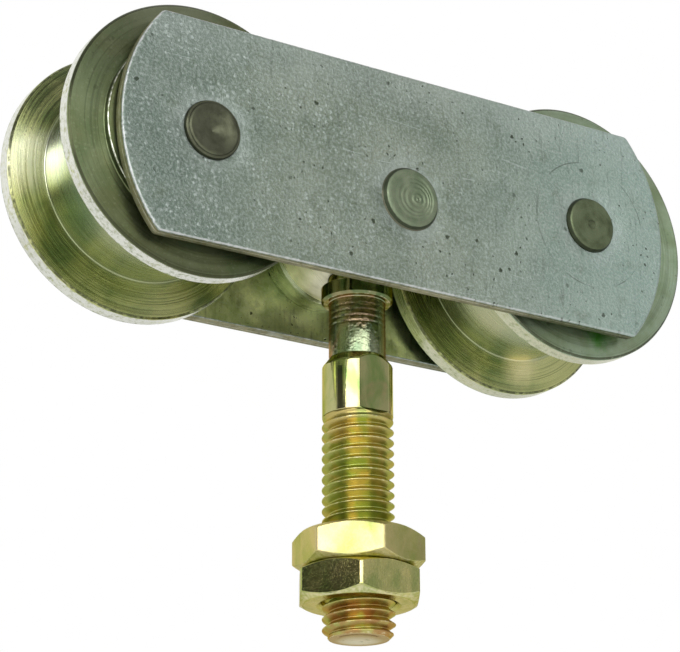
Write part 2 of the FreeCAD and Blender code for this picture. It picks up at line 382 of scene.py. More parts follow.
# cloudy zinc: broad blotches, fine light specks, small dark pits and an even grain
def makeMottleGroup(rule):
    tree, given = startLook("zincMottle", floats("Blotch Scale", "Speck Scale", "Pit Scale"),
                            floats("Blotch", "Speck", "Pit", "Grain"))
    vector, speckScale, pitScale = given["Vector"], given["Speck Scale"], given["Pit Scale"]
    blotch = patches(tree, vector, (given["Blotch Scale"], *rule["blotch"]))
    speck = patches(tree, vector, (speckScale, *rule["speck"]))
    cluster = patches(tree, vector, (pitScale, *rule["cluster"]))
    dots = patches(tree, vector, (times(tree, pitScale, rule["dotsPerPit"]), *rule["dot"]))
    grain = noiseOf(tree, vector, times(tree, speckScale, rule["grainsPerSpeck"]), *rule["grain"])
    return endGroup(tree, blotch, speck, times(tree, cluster, dots), grain)


# spots by how few and how many show, their smallest radius, its growth and their solid core
spotRule = {"depthShare": 0.7, "shakeScale": 2400.0, "shake": (0.0006, 0.0006, 0.0),
            "smudge": (300.0, 4, 0.62, 0.54, 0.72), "crowd": (95.0, 2, 0.6, 0.42, 0.58), "finePerPit": 2.6,
            "dots": (0.2, 0.9, 0.22, 0.32, 0.1), "pits": (0.60, 0.70, 0.03, 0.11, 0.5),
            "fine": (0.72, 0.86, 0.06, 0.14, 0.4)}


# spots on zinc, seen along Y: light crystal dots, dark pits and the smudges between them
def makeSpotGroup(rule):
    tree, given = startLook("zincSpots", floats("Dot Scale", "Pit Scale"), floats("Dots", "Pits", "Smudge"))
    vector, pitScale = given["Vector"], given["Pit Scale"]
    parts = splitVector(tree, vector)
    flat = joinVector(tree, parts["X"], timesPlus(tree, parts["Y"], rule["depthShare"], parts["Z"]), 0.0)
    shake = addNode(tree, "ShaderNodeTexNoise", {"Vector": vector, "Scale": rule["shakeScale"]}).outputs
    offset = vectorCalc(tree, "SUBTRACT", shake["Color"], (0.5, 0.5, 0.5))
    ragged = vectorCalc(tree, "MULTIPLY_ADD", offset, rule["shake"], flat)

    def scatter(scale, few, many, smallest, growth, core):
        values = {"Vector": ragged, "Scale": scale}
        cells = addNode(tree, "ShaderNodeTexVoronoi", values, voronoi_dimensions="2D").outputs
        chance = addNode(tree, "ShaderNodeSeparateColor", [cells["Color"]]).outputs
        radius = timesPlus(tree, chance[0], growth, smallest)
        spot = ramp(tree, cells["Distance"], times(tree, radius, core), radius, 1.0, 0.0)
        return times(tree, spot, ramp(tree, chance[1], few, many))

    fine = scatter(times(tree, pitScale, rule["finePerPit"]), *rule["fine"])
    pits = larger(tree, scatter(pitScale, *rule["pits"]), fine)
    crowded = times(tree, pits, patches(tree, vector, rule["crowd"]))
    dots = scatter(given["Dot Scale"], *rule["dots"])
    return endGroup(tree, dots, crowded, patches(tree, vector, rule["smudge"]))


# how closely the rings follow each other, and how much they change on the way round
turningRule = {"lines": (1.0, 0.7), "bands": (0.17, 0.9)}


# rings left by the lathe tool: X and Y across the axis, Z along it
def makeTurningGroup(rule):
    tree, given = startLook("turningMarks", floats("Spacing"), floats("Lines", "Bands"))
    parts = splitVector(tree, given["Vector"])
    flat = joinVector(tree, parts["X"], parts["Y"], 0.0)
    way = splitVector(tree, vectorCalc(tree, "NORMALIZE", flat))
    across = calc(tree, "DIVIDE", vectorCalc(tree, "LENGTH", flat), given["Spacing"])
    along = calc(tree, "DIVIDE", parts["Z"], given["Spacing"])

    def ringNoise(factor, swing):
        ring, row = times(tree, across, factor), times(tree, along, factor)
        place = joinVector(tree, ring, row, times(tree, way["X"], swing))
        values = {"Vector": place, "W": times(tree, way["Y"], swing), "Scale": 1.0}
        return result(tree, "ShaderNodeTexNoise", values, noise_dimensions="4D")

    return endGroup(tree, ringNoise(*rule["lines"]), ringNoise(*rule["bands"]))


passivationRule = {"cloud": (3, 0.55, 0.6), "cloudLimits": (0.36, 0.64), "patch": (2, 0.5, 0.8),
                   "patchLimits": (0.52, 0.70), "patchScale": 0.8, "patchPlace": (0.31, 0.17, 0.05)}


# yellow passivation: gold drifting to green, with rosy patches
def makePassivationGroup(rule):
    colours = dict.fromkeys(("Gold", "Green", "Rose"), "Color")
    tree, given = startLook("yellowPassivation", {**floats("Scale", "Rose Share"), **colours},
                            {"Color": "Color", "Cloud": "Float"})
    vector = given["Vector"]
    cloud = ramp(tree, noiseOf(tree, vector, given["Scale"], *rule["cloud"]), *rule["cloudLimits"])
    moved = stretch(tree, vector, (1, 1, 1), place=rule["patchPlace"])
    scale = times(tree, given["Scale"], rule["patchScale"])
    patch = ramp(tree, noiseOf(tree, moved, scale, *rule["patch"]), *rule["patchLimits"])
    base = blend(tree, cloud, given["Gold"], given["Green"])
    return endGroup(tree, lay(tree, base, given["Rose"], patch, given["Rose Share"]), cloud)


rubRule = {"noise": (3, 0.6), "swing": 0.9, "limits": (0.38, 0.72)}


# where a worn edge or a running face is rubbed bright and where a highlight is painted, and where grime stays
# and where shade is painted (wear below zero)
def makeRubAndPaintedLightGroup(rule):
    tree, given = startLook("edgeRubAndPaintedLight", floats("WearAndPaintedLight", "Scale"), floats("Mask", "GrimeAndPaintedShade"))
    patchy = noiseOf(tree, given["Vector"], given["Scale"], *rule["noise"])
    swing = times(tree, minus(tree, patchy, 0.5), rule["swing"])
    bright = ramp(tree, plus(tree, swing, given["WearAndPaintedLight"]), *rule["limits"])
    return endGroup(tree, bright, ramp(tree, minus(tree, swing, given["WearAndPaintedLight"]), *rule["limits"]))


scratchRule = {"ways": ((0.6, 0.0), (-0.9, 0.4), (1.9, 0.9)), "squeeze": (0.10, 1, 1), "width": 0.0035,
               "some": (130.0, 1, 0.5, 0.60, 0.66)}


# thin scratches that run a few millimetres, one way or the other
def makeScratchGroup(rule):
    tree, given = startLook("fineScratches", floats("Scale"), floats("Mask"))
    vector, mask = given["Vector"], 0.0
    for turnY, spot in rule["ways"]:
        line = stretch(tree, vector, rule["squeeze"], turn=(0, turnY, 0), place=(spot, 0, spot))
        off = calc(tree, "ABSOLUTE", minus(tree, noiseOf(tree, line, given["Scale"], 0.0), 0.5))
        some = patches(tree, stretch(tree, vector, (1, 1, 1), place=(spot, spot, 0)), rule["some"])
        mask = larger(tree, mask, times(tree, ramp(tree, off, 0.0, rule["width"], 1.0, 0.0), some))
    return endGroup(tree, mask)


mottle, spotted, turning = makeMottleGroup(mottleRule), makeSpotGroup(spotRule), makeTurningGroup(turningRule)
passivation, rubAndPaintedLight = makePassivationGroup(passivationRule), makeRubAndPaintedLightGroup(rubRule)
scratches = makeScratchGroup(scratchRule)
print("shader groups:", [g.name for g in (mottle, spotted, turning, passivation, rubAndPaintedLight, scratches)])


def objectPlace(tree):
    return addNode(tree, "ShaderNodeTexCoord").outputs["Object"]


def wornAndPaintedLightPlaces(tree, place, scale):
    wearAndPaintedLight = addNode(tree, "ShaderNodeAttribute", attribute_name="wearAndPaintedLight").outputs["Fac"]
    return fillGroup(tree, rubAndPaintedLight, place, {"WearAndPaintedLight": wearAndPaintedLight, "Scale": scale})


# a lying piece's own axis turned to Z, with its centre at the middle
def latheFrame(tree, vector, centre):
    place = (-centre[0] * mm, centre[2] * mm, 0)
    return stretch(tree, vector, (1, 1, 1), turn=(math.pi / 2, 0, 0), place=place)


def finishSurface(tree, shader, colour, rough, relief, depth):
    bump = result(tree, "ShaderNodeBump", {"Height": relief, "Distance": depth})
    for name, value in (("Base Color", colour), ("Roughness", rough), ("Normal", bump)):
        tree.links.new(value, shader.inputs[name])


# highlights of a turned face spread across the tool's rings
def addSpread(tree, shader, vector, centre, amount):
    arm = vectorCalc(tree, "SUBTRACT", vector, [c * mm for c in centre])
    ring = vectorCalc(tree, "CROSS_PRODUCT", arm, (0, 1, 0))
    turned = result(tree, "ShaderNodeVectorTransform", [ring], vector_type="VECTOR", convert_from="OBJECT",
                    convert_to="WORLD")
    tree.links.new(vectorCalc(tree, "NORMALIZE", turned), shader.inputs["Tangent"])
    shader.inputs["Anisotropic"].default_value = amount
    shader.inputs["Anisotropic Rotation"].default_value = 0.25


# spans are shares of the plate's reach, from -1 at its left tip to 1 at its right one
plateFinish = {"dark": (0.165, 0.208, 0.155, 1), "light": (0.275, 0.318, 0.250, 1),
               "speck": (0.56, 0.63, 0.60, 1), "pit": (0.03, 0.042, 0.02, 1),
               "smudge": (0.11, 0.14, 0.075, 1), "edge": (0.72, 0.73, 0.73, 1),
               # the paler right-hand tone on the plate's faces is a painted reflection of the brighter room
               # to the right
               "rightTone": (0.39, 0.54, 0.485, 1), "rightSpan": (0, 1), "rightShare": 0.62, "rough": (0.38, 0.54),
               "blotch": 90.0, "mottleScales": {"Speck Scale": 2350.0, "Pit Scale": 230.0}, "rubScale": 900.0,
               "spotScales": {"Dot Scale": 1250.0, "Pit Scale": 330.0}, "scratchScale": 55.0,
               "scratchShare": 0.35, "speckShare": 0.32, "dotShare": 0.85, "dotSpan": (-1, 0.4),
               "dotRight": 0.4, "dotLeast": 0.15, "dotPatches": (140.0, 3, 0.5, 0.36, 0.60),
               "pitShare": 0.9, "smudgeShare": 0.35,
               "streakShare": 0.26, "streaks": (1500.0, 2, 0.5, 0.54, 0.72), "streakSqueeze": (1, 1, 0.14),
               # the plate's faces darken towards the left end: painted shade
               "leftShade": (0.115, 0.18, 0.165, 1), "leftShadeSpan": (-1, -0.3), "leftShadeShare": 0.4,
               # near the top edge the faces are made paler: painted light from above
               # the bright edge colour is stronger towards the left end: a painted highlight in part
               "topSheenShare": 0.22, "topSheenFrom": 7, "topSheenTo": 16, "edgeSheenSpan": (0.1, 1), "edgeSheenShares": (0.7, 0.2),
               "grainLimits": (0.2, 0.8), "speckRelief": 0.6, "pitRelief": -1.5, "scratchRelief": -0.4,
               "bump": 0.00006, "metallic": 0.75, "grazing": (1, 1, 1, 1)}
cutFinish = {**plateFinish, "dark": (0.16, 0.155, 0.08, 1), "light": (0.36, 0.34, 0.20, 1), "blotch": 300.0,
             "edge": (0.72, 0.70, 0.55, 1), "speckShare": 0.2, "dotShare": 0.0, "leftShadeShare": 0.0,
             # the cut edge takes a darker tone towards its right end
             "topSheenShare": 0.0, "bump": 0.00003, "rightTone": (0.06, 0.085, 0.04, 1), "rightShare": 0.8,
             "grazing": (0.60, 0.57, 0.42, 1)}
# the inner faces take a much paler copy of the plate zinc: painted light where they sit between the plates
litInnerFinish = {**plateFinish, "dark": (0.30, 0.38, 0.17, 1), "light": (0.92, 0.96, 0.58, 1), "blotch": 140.0,
               "rough": (0.26, 0.40), "speckShare": 0.15, "dotShare": 0.1, "rightShare": 0.0, "leftShadeShare": 0.0,
               "topSheenShare": 0.0, "bump": 0.00002, "metallic": 1.0}
# the pale ring round each rivet is pressed zinc in part and a painted highlight in part
pressedHaloAndSheen = {"places": ((-axleX, axleZ), (0, crossZ), (axleX, axleZ)), "inside": 4.2, "outside": 7.5,
             "share": 0.3, "patches": (260.0, 3, 0.5, 0.35, 0.6)}
scribedRing = {"place": (axleX, axleZ), "radius": 9.6, "width": 0.15, "share": 0.6,
               "patches": (130.0, 2, 0.5, 0.42, 0.56)}


def distanceFrom(tree, vector, spot):
    level = vectorCalc(tree, "MULTIPLY", vector, (1, 0, 1))
    return vectorCalc(tree, "DISTANCE", level, (spot[0] * mm, 0, spot[1] * mm))


# paler zinc pressed round the rivets, in part a painted highlight on the dimples, and a faint ring scribed
# round one of them
def addPlateMarks(tree, place, colour, look):
    halo, inside, outside = 0.0, pressedHaloAndSheen["inside"] * mm, pressedHaloAndSheen["outside"] * mm
    for spot in pressedHaloAndSheen["places"]:
        near = ramp(tree, distanceFrom(tree, place, spot), inside, outside, pressedHaloAndSheen["share"], 0.0)
        halo = larger(tree, halo, near)
    colour = lay(tree, colour, look["speck"], halo, patches(tree, place, pressedHaloAndSheen["patches"]))
    off = minus(tree, distanceFrom(tree, place, scribedRing["place"]), scribedRing["radius"] * mm)
    line = ramp(tree, calc(tree, "ABSOLUTE", off), 0.0, scribedRing["width"] * mm, scribedRing["share"], 0.0)
    return lay(tree, colour, look["pit"], line, patches(tree, place, scribedRing["patches"]))


def makePlateZinc(name, look, marked=False):
    made, tree, shader = startMaterial(name, Metallic=look["metallic"], Specular_Tint=look["grazing"])
    place = objectPlace(tree)
    parts = splitVector(tree, place)
    cloud = fillGroup(tree, mottle, place, {"Blotch Scale": look["blotch"], **look["mottleScales"]})
    scratch = fillGroup(tree, scratches, place, {"Scale": look["scratchScale"]})["Mask"]
    wornAndPaintedLight = wornAndPaintedLightPlaces(tree, place, look["rubScale"])["Mask"]
    spots = fillGroup(tree, spotted, place, look["spotScales"])

    def alongPlate(span, left, right):
        return ramp(tree, parts["X"], span[0] * plateReach * mm, span[1] * plateReach * mm, left, right)

    colour = blend(tree, cloud["Blotch"], look["dark"], look["light"])
    # a tone towards the right end: paler on the faces, a painted reflection of the brighter room, and darker
    # on the cut edge
    colour = blend(tree, alongPlate(look["rightSpan"], 0.0, look["rightShare"]), colour, look["rightTone"])
    # painted shade: a darker tone towards the left end
    colour = blend(tree, alongPlate(look["leftShadeSpan"], look["leftShadeShare"], 0.0), colour, look["leftShade"])
    # painted light: the faces paler towards the top edge
    topSheenFrom, topSheenTo = (axleZ + look["topSheenFrom"]) * mm, (axleZ + look["topSheenTo"]) * mm
    colour = blend(tree, ramp(tree, parts["Z"], topSheenFrom, topSheenTo, 0.0, look["topSheenShare"]), colour, look["speck"])
    colour = lay(tree, colour, look["smudge"], spots["Smudge"], look["smudgeShare"])
    drawn = stretch(tree, place, look["streakSqueeze"])
    colour = blend(tree, patches(tree, drawn, look["streaks"], 0.0, look["streakShare"]), colour, look["pit"])
    colour = lay(tree, colour, look["speck"], cloud["Speck"], look["speckShare"])
    thick = alongPlate(look["dotSpan"], look["dotShare"], look["dotRight"] * look["dotShare"])
    thick = times(tree, thick, patches(tree, place, look["dotPatches"], look["dotLeast"]))
    dots = times(tree, spots["Dots"], thick)
    colour = blend(tree, dots, colour, look["speck"])
    if marked:
        colour = addPlateMarks(tree, place, colour, look)
    colour = lay(tree, colour, look["pit"], spots["Pits"], look["pitShare"])
    colour = lay(tree, colour, look["speck"], scratch, look["scratchShare"])
    # the bright edge colour, stronger towards the left end: worn zinc in part and a painted highlight in part
    colour = lay(tree, colour, look["edge"], wornAndPaintedLight, alongPlate(look["edgeSheenSpan"], *look["edgeSheenShares"]))
    rough = ramp(tree, cloud["Grain"], *look["grainLimits"], *look["rough"])
    relief = timesPlus(tree, cloud["Speck"], look["speckRelief"], dots)
    relief = timesPlus(tree, spots["Pits"], look["pitRelief"], relief)
    relief = timesPlus(tree, scratch, look["scratchRelief"], relief)
    finishSurface(tree, shader, colour, rough, relief, look["bump"])
    return made


wheelFinish = {"gold": (0.52, 0.54, 0.23, 1), "green": (0.21, 0.28, 0.11, 1), "rose": (0.58, 0.55, 0.36, 1),
               "grimeAndPaintedShade": (0.05, 0.055, 0.03, 1), "grimeAndPaintedShadeShare": 0.85, "ringShade": (0.10, 0.12, 0.05, 1),
               "coatScale": 110.0, "roseShare": 0.5, "rubScale": 1400.0, "spacing": 0.00024, "spread": 0.6,
               "mottleScales": {"Blotch Scale": 130.0, "Speck Scale": 1900.0, "Pit Scale": 260.0},
               "spotScales": {"Dot Scale": 1500.0, "Pit Scale": 300.0}, "dotShare": 0.22, "pitShare": 0.3,
               "bandLimits": (0.40, 0.62), "bandShare": 0.55, "lineLimits": (0.36, 0.52), "lineShare": 0.45,
               "sideFrom": 9.9, "sideTo": 10.4, "sideLines": (0.36, 0.50), "sideLineShare": 0.22,
               "floorPale": (0.36, 0.40, 0.25, 1), "floorFrom": 14.45, "floorTo": 14.9, "floorShare": 0.75,
               "tan": (0.20, 0.19, 0.09, 1), "tanShare": 0.3, "roughLimits": (0.3, 0.7),
               "rough": (0.20, 0.31), "sideRough": 0.10, "bandRelief": 0.8, "grainRelief": 0.5,
               "bump": 0.000016,
               # each wheel has its own tones: the right wheel's paler flanges are painted light, and its
               # darker rim is painted shade under the plate's edge
               "left": {"dark": (0.125, 0.165, 0.075, 1), "light": (0.21, 0.255, 0.14, 1),
                        "rim": (0.76, 0.77, 0.69, 1)},
               "right": {"dark": (0.27, 0.37, 0.21, 1), "light": (0.46, 0.58, 0.42, 1),
                         "rim": (0.58, 0.59, 0.41, 1)}}

# spots of another tone by place, reach, share, raggedness and tone
toneSpotRule = {"noise": (700.0, 3), "core": 0.3}
wheelSheenShadeAndStain = {
    # left wheel: painted highlights on the groove floor and the rear flange's cone, painted shade lower on
    # the floor, painted light on the front flange's top
    "left": (((-45.6, 3.0, 20.5), 7.0, 0.92, 1.2, (0.64, 0.69, 0.70, 1)),
             ((-48.3, 7.4, 19.5), 7.0, 0.55, 1.2, (0.70, 0.70, 0.52, 1)),
             ((-43.0, 1.0, 11.5), 7.0, 0.75, 1.5, (0.09, 0.17, 0.07, 1)),
             ((-36.0, -10.65, 37.0), 12.0, 0.6, 3.0, (0.34, 0.37, 0.25, 1))),
    # right wheel: a painted highlight on the rear flange's cone, a painted highlight on the groove floor, a
    # darker spot where the floor meets the cone, and a real green stain on the front flange
    "right": (((33.5, 7.4, 4.6), 5.0, 0.75, 1.5, (0.86, 0.78, 0.42, 1)),
              ((23.5, 0.5, 8.0), 5.5, 0.45, 1.5, (0.54, 0.52, 0.31, 1)),
              ((18.8, 6.5, 9.5), 6.5, 0.6, 1.5, (0.10, 0.12, 0.05, 1)),
              ((34.6, -10.65, 3.9), 4.6, 0.9, 3.2, (0.07, 0.34, 0.02, 1))),
}


# a spot of another tone round a place on the piece
def addToneSpot(tree, place, colour, at, reach, share, ragged, tone):
    away = vectorCalc(tree, "DISTANCE", place, [c * mm for c in at])
    edge = timesPlus(tree, noiseOf(tree, place, *toneSpotRule["noise"]), ragged * mm, away)
    reach *= mm
    return blend(tree, ramp(tree, edge, toneSpotRule["core"] * reach, reach, share, 0.0), colour, tone)


def coatOf(tree, vector, look, scale):
    return fillGroup(tree, passivation, vector, {"Scale": scale, "Gold": look["gold"], "Green": look["green"],
                                                 "Rose": look["rose"], "Rose Share": look["roseShare"]})


def makeWheelZinc(side, look, centre):
    made, tree, shader = startMaterial(side + "WheelZinc", Metallic=1.0)
    place = objectPlace(tree)
    lathe = latheFrame(tree, place, centre)
    rings = fillGroup(tree, turning, lathe, {"Spacing": look["spacing"]})
    coat = coatOf(tree, place, look, look["coatScale"])
    cloud = fillGroup(tree, mottle, place, look["mottleScales"])
    wornAndPaintedLight = wornAndPaintedLightPlaces(tree, place, look["rubScale"])
    spots = fillGroup(tree, spotted, place, look["spotScales"])
    bands = ramp(tree, rings["Bands"], *look["bandLimits"], 0.0, look["bandShare"])
    lines = ramp(tree, rings["Lines"], *look["lineLimits"], look["lineShare"], 0.0)
    ringed = blend(tree, lines, blend(tree, bands, coat["Color"], look["gold"]), look["ringShade"])
    radius = vectorCalc(tree, "LENGTH", vectorCalc(tree, "MULTIPLY", lathe, (1, 1, 0)))
    onFloor = ramp(tree, radius, look["floorFrom"] * mm, look["floorTo"] * mm, look["floorShare"], 0.0)
    ringed = blend(tree, onFloor, ringed, look["floorPale"])
    # the flanges take their wheel's tones, paler on the right: painted light
    plain = blend(tree, cloud["Blotch"], look[side]["dark"], look[side]["light"])
    plain = lay(tree, plain, look["tan"], coat["Cloud"], look["tanShare"])
    plain = lay(tree, plain, look["floorPale"], spots["Dots"], look["dotShare"])
    plain = lay(tree, plain, look["grimeAndPaintedShade"], spots["Pits"], look["pitShare"])
    sideLines = ramp(tree, rings["Lines"], *look["sideLines"], look["sideLineShare"], 0.0)
    plain = blend(tree, sideLines, plain, look["grimeAndPaintedShade"])
    along = calc(tree, "ABSOLUTE", splitVector(tree, lathe)["Z"])
    outside = ramp(tree, along, look["sideFrom"] * mm, look["sideTo"] * mm)
    colour = blend(tree, outside, ringed, plain)
    # painted highlights and painted shade in the grooves, painted light on a flange, and one real stain
    for toneSpot in wheelSheenShadeAndStain[side]:
        colour = addToneSpot(tree, place, colour, *toneSpot)
    # worn places take their wheel's rim colour, darker on the right: painted shade
    colour = blend(tree, wornAndPaintedLight["Mask"], colour, look[side]["rim"])
    colour = lay(tree, colour, look["grimeAndPaintedShade"], wornAndPaintedLight["GrimeAndPaintedShade"], look["grimeAndPaintedShadeShare"])
    rough = ramp(tree, rings["Lines"], *look["roughLimits"], *look["rough"])
    rough = timesPlus(tree, outside, look["sideRough"], rough)
    relief = timesPlus(tree, rings["Bands"], look["bandRelief"], rings["Lines"])
    relief = timesPlus(tree, cloud["Grain"], look["grainRelief"], relief)
    finishSurface(tree, shader, colour, rough, relief, look["bump"])
    addSpread(tree, shader, place, centre, look["spread"])
    return made


rivetFinish = {"dark": (0.080, 0.100, 0.052, 1), "light": (0.165, 0.200, 0.112, 1),
               "edge": (0.27, 0.29, 0.21, 1), "grimeAndPaintedShade": (0.03, 0.035, 0.02, 1), "edgeShare": 0.7,
               "grimeAndPaintedShadeShare": 0.8, "rubScale": 900.0,
               "spacing": 0.0002, "bandLimits": (0.42, 0.60), "bandShare": 0.35, "blotch": 420.0,
               "mottleScales": {"Speck Scale": 2600.0, "Pit Scale": 420.0}, "roughLimits": (0.3, 0.7),
               "rough": (0.40, 0.56), "grain": 1.2, "bump": 0.00003, "metallic": 0.9, "spread": 0.0}
# the left head's finish is a darker, browner copy: the brown tone is the head's own, the extra darkness is
# painted shade
hollowFinish = {**rivetFinish, "dark": (0.062, 0.066, 0.041, 1), "light": (0.125, 0.135, 0.084, 1),
                "rough": (0.34, 0.46), "grain": 0.6, "bump": 0.00002}
crossFinish = {**rivetFinish, "dark": (0.14, 0.185, 0.11, 1), "light": (0.25, 0.295, 0.195, 1)}
barrelFinish = {**rivetFinish, "dark": (0.46, 0.45, 0.30, 1), "light": (0.74, 0.71, 0.54, 1),
                "edge": (0.85, 0.82, 0.68, 1), "spacing": 0.00025, "blotch": 220.0, "rough": (0.26, 0.42),
                "grain": 0.3, "bump": 0.00001, "metallic": 1.0, "spread": 0.3}
spacerFinish = {**barrelFinish, "dark": (0.16, 0.20, 0.10, 1), "light": (0.32, 0.36, 0.20, 1),
                "rough": (0.2, 0.34)}
bearingFinish = {**barrelFinish, "dark": (0.42, 0.42, 0.40, 1), "light": (0.60, 0.60, 0.58, 1),
                 "rough": (0.16, 0.28)}
cageFinish = {**barrelFinish, "dark": (0.30, 0.30, 0.29, 1), "light": (0.46, 0.46, 0.44, 1),
              "rough": (0.3, 0.45)}


def makeTurnedSteel(name, look, centre):
    made, tree, shader = startMaterial(name, Metallic=look["metallic"])
    place = objectPlace(tree)
    rings = fillGroup(tree, turning, latheFrame(tree, place, centre), {"Spacing": look["spacing"]})
    cloud = fillGroup(tree, mottle, place, {"Blotch Scale": look["blotch"], **look["mottleScales"]})
    wornAndPaintedLight = wornAndPaintedLightPlaces(tree, place, look["rubScale"])
    colour = blend(tree, cloud["Blotch"], look["dark"], look["light"])
    bands = ramp(tree, rings["Bands"], *look["bandLimits"], 0.0, look["bandShare"])
    colour = blend(tree, bands, colour, look["light"])
    colour = lay(tree, colour, look["edge"], wornAndPaintedLight["Mask"], look["edgeShare"])
    colour = lay(tree, colour, look["grimeAndPaintedShade"], wornAndPaintedLight["GrimeAndPaintedShade"], look["grimeAndPaintedShadeShare"])
    rough = ramp(tree, rings["Lines"], *look["roughLimits"], *look["rough"])
    relief = timesPlus(tree, cloud["Grain"], look["grain"], rings["Lines"])
    finishSurface(tree, shader, colour, rough, relief, look["bump"])
    if look["spread"]:
        addSpread(tree, shader, place, centre, look["spread"])
    return made


boltFinish = {"gold": (0.45, 0.44, 0.20, 1), "green": (0.23, 0.32, 0.10, 1), "rose": (0.54, 0.37, 0.22, 1),
              "bright": (0.60, 0.56, 0.30, 1), "brightShare": 0.6, "spacing": 0.0003, "scale": 300.0,
              "squeeze": (1, 1, 0.55), "roseShare": 0.5, "stubRose": 0.0, "stubTop": -37.9, "stubFade": 1,
              "stubPatches": (420.0, 2, 0.5, 0.32, 0.56), "rough": (0.05, 0.13), "bump": 0.00001,
              "mottleScales": {"Blotch Scale": 300.0, "Pit Scale": 420.0}, "speckScale": 1700.0,
              "rubScale": 1600.0, "pitShare": 0.5, "dotShare": 0.0, "cloudRelief": 0.6, "ringRelief": 0.4,
              "grainRelief": 0.4, "speckle": 0.0, "grazing": (0.80, 0.72, 0.36, 1)}
# the collar's copy of the bolt zinc is much darker: painted shade under the front plate
shadedCollarFinish = {**boltFinish, "gold": (0.19, 0.22, 0.10, 1), "green": (0.10, 0.15, 0.06, 1), "roseShare": 0.3,
                "bright": (0.80, 0.76, 0.57, 1), "brightShare": 0.85, "rough": (0.10, 0.2),
                "grazing": (0.55, 0.42, 0.24, 1)}
neckFinish = {**boltFinish, "gold": (0.33, 0.37, 0.23, 1), "green": (0.19, 0.26, 0.15, 1),
              "rose": (0.50, 0.29, 0.19, 1), "roseShare": 0.6, "rough": (0.08, 0.18), "speckle": 1.8,
              "grazing": (0.72, 0.42, 0.28, 1)}
threadFinish = {**boltFinish, "gold": (0.52, 0.43, 0.15, 1), "green": (0.37, 0.41, 0.12, 1), "roseShare": 0.1,
                "rose": (0.40, 0.19, 0.08, 1), "stubRose": 0.75, "rough": (0.28, 0.40), "brightShare": 0.8,
                "bright": (0.80, 0.73, 0.46, 1)}
nutFinish = {**boltFinish, "gold": (0.64, 0.58, 0.23, 1), "green": (0.36, 0.41, 0.13, 1), "spacing": 0.0004,
             "rose": (0.62, 0.45, 0.26, 1), "scale": 150.0, "roseShare": 0.3, "rough": (0.08, 0.16),
             "bump": 0.000008, "ringRelief": 0.08, "speckle": 1.18, "speckScale": 3300.0, "dotShare": 0.1,
             "bright": (0.82, 0.76, 0.52, 1), "grazing": (0.66, 0.60, 0.32, 1)}
satinNutFinish = {**nutFinish, "gold": (0.62, 0.54, 0.24, 1), "green": (0.38, 0.42, 0.12, 1),
                  "roseShare": 0.45, "rose": (0.60, 0.40, 0.32, 1), "rough": (0.36, 0.46), "speckle": 0.3}


def makePassivated(name, look):
    made, tree, shader = startMaterial(name, Metallic=1.0, Specular_Tint=look["grazing"])
    place = objectPlace(tree)
    rings = fillGroup(tree, turning, place, {"Spacing": look["spacing"]})
    cloud = fillGroup(tree, mottle, place, {"Speck Scale": look["speckScale"], **look["mottleScales"]})
    wornAndPaintedLight = wornAndPaintedLightPlaces(tree, place, look["rubScale"])["Mask"]
    colour = coatOf(tree, stretch(tree, place, look["squeeze"]), look, look["scale"])["Color"]
    height, stubTop = splitVector(tree, place)["Z"], look["stubTop"]
    onStub = ramp(tree, height, (stubTop - look["stubFade"]) * mm, stubTop * mm, 1.0, 0.0)
    reddish = patches(tree, place, look["stubPatches"], 0.0, look["stubRose"])
    colour = lay(tree, colour, look["rose"], onStub, reddish)
    colour = lay(tree, colour, look["bright"], wornAndPaintedLight, look["brightShare"])
    colour = lay(tree, colour, look["green"], cloud["Pit"], look["pitShare"])
    colour = lay(tree, colour, look["bright"], cloud["Speck"], look["dotShare"])
    rough = ramp(tree, cloud["Blotch"], 0.0, 1.0, *look["rough"])
    relief = times(tree, cloud["Blotch"], look["cloudRelief"])
    relief = timesPlus(tree, rings["Lines"], look["ringRelief"], relief)
    relief = timesPlus(tree, cloud["Speck"], look["speckle"], relief)
    relief = timesPlus(tree, cloud["Grain"], look["grainRelief"], relief)
    finishSurface(tree, shader, colour, rough, relief, look["bump"])
    return made


plateZincs = (makePlateZinc("plateZinc", plateFinish, True), makePlateZinc("cutEdgeZinc", cutFinish),
              makePlateZinc("litInnerPlateZinc", litInnerFinish))
wheelZinc = {side: makeWheelZinc(side, wheelFinish, centre) for side, centre in wheelCentres.items()}
rivetSteel = {"left": makeTurnedSteel("leftRivetSteel", hollowFinish, wheelCentres["left"]),
              "right": makeTurnedSteel("rightRivetSteel", rivetFinish, wheelCentres["right"])}
crossZinc = makeTurnedSteel("crossBarZinc", barrelFinish, crossCentre)
crossHeadSteel = makeTurnedSteel("crossHeadSteel", crossFinish, crossCentre)
spacerZinc = makeTurnedSteel("spacerZinc", spacerFinish, crossCentre)
boltZinc = makePassivated("boltZinc", boltFinish)
shadedCollarZinc = makePassivated("shadedCollarZinc", shadedCollarFinish)
neckZinc = makePassivated("neckZinc", neckFinish)
threadZinc = makePassivated("threadZinc", threadFinish)
nutZinc = {"upper": makePassivated("upperNutZinc", satinNutFinish),
           "lower": makePassivated("lowerNutZinc", nutFinish)}
bearingSteel = {s: makeTurnedSteel(s + "BearingSteel", bearingFinish, c) for s, c in wheelCentres.items()}
cageSteel = {s: makeTurnedSteel(s + "CageSteel", cageFinish, c) for s, c in wheelCentres.items()}
print("materials:", len(bpy.data.materials))

# wheels: outline from the bearing pocket round the boss, the rim, the groove and back
wheelShape = {"rim": 19.4, "face": 10.65, "rimInside": 7.9, "floor": 14.35, "floorEdge": 6.9, "boss": 14.2,
              "bossFace": 11.65, "pocket": 11.0, "seamDepth": 1, "shoulder": 9.4, "shoulderAt": 3.5,
              "chamfer": 0.3, "segments": 256}


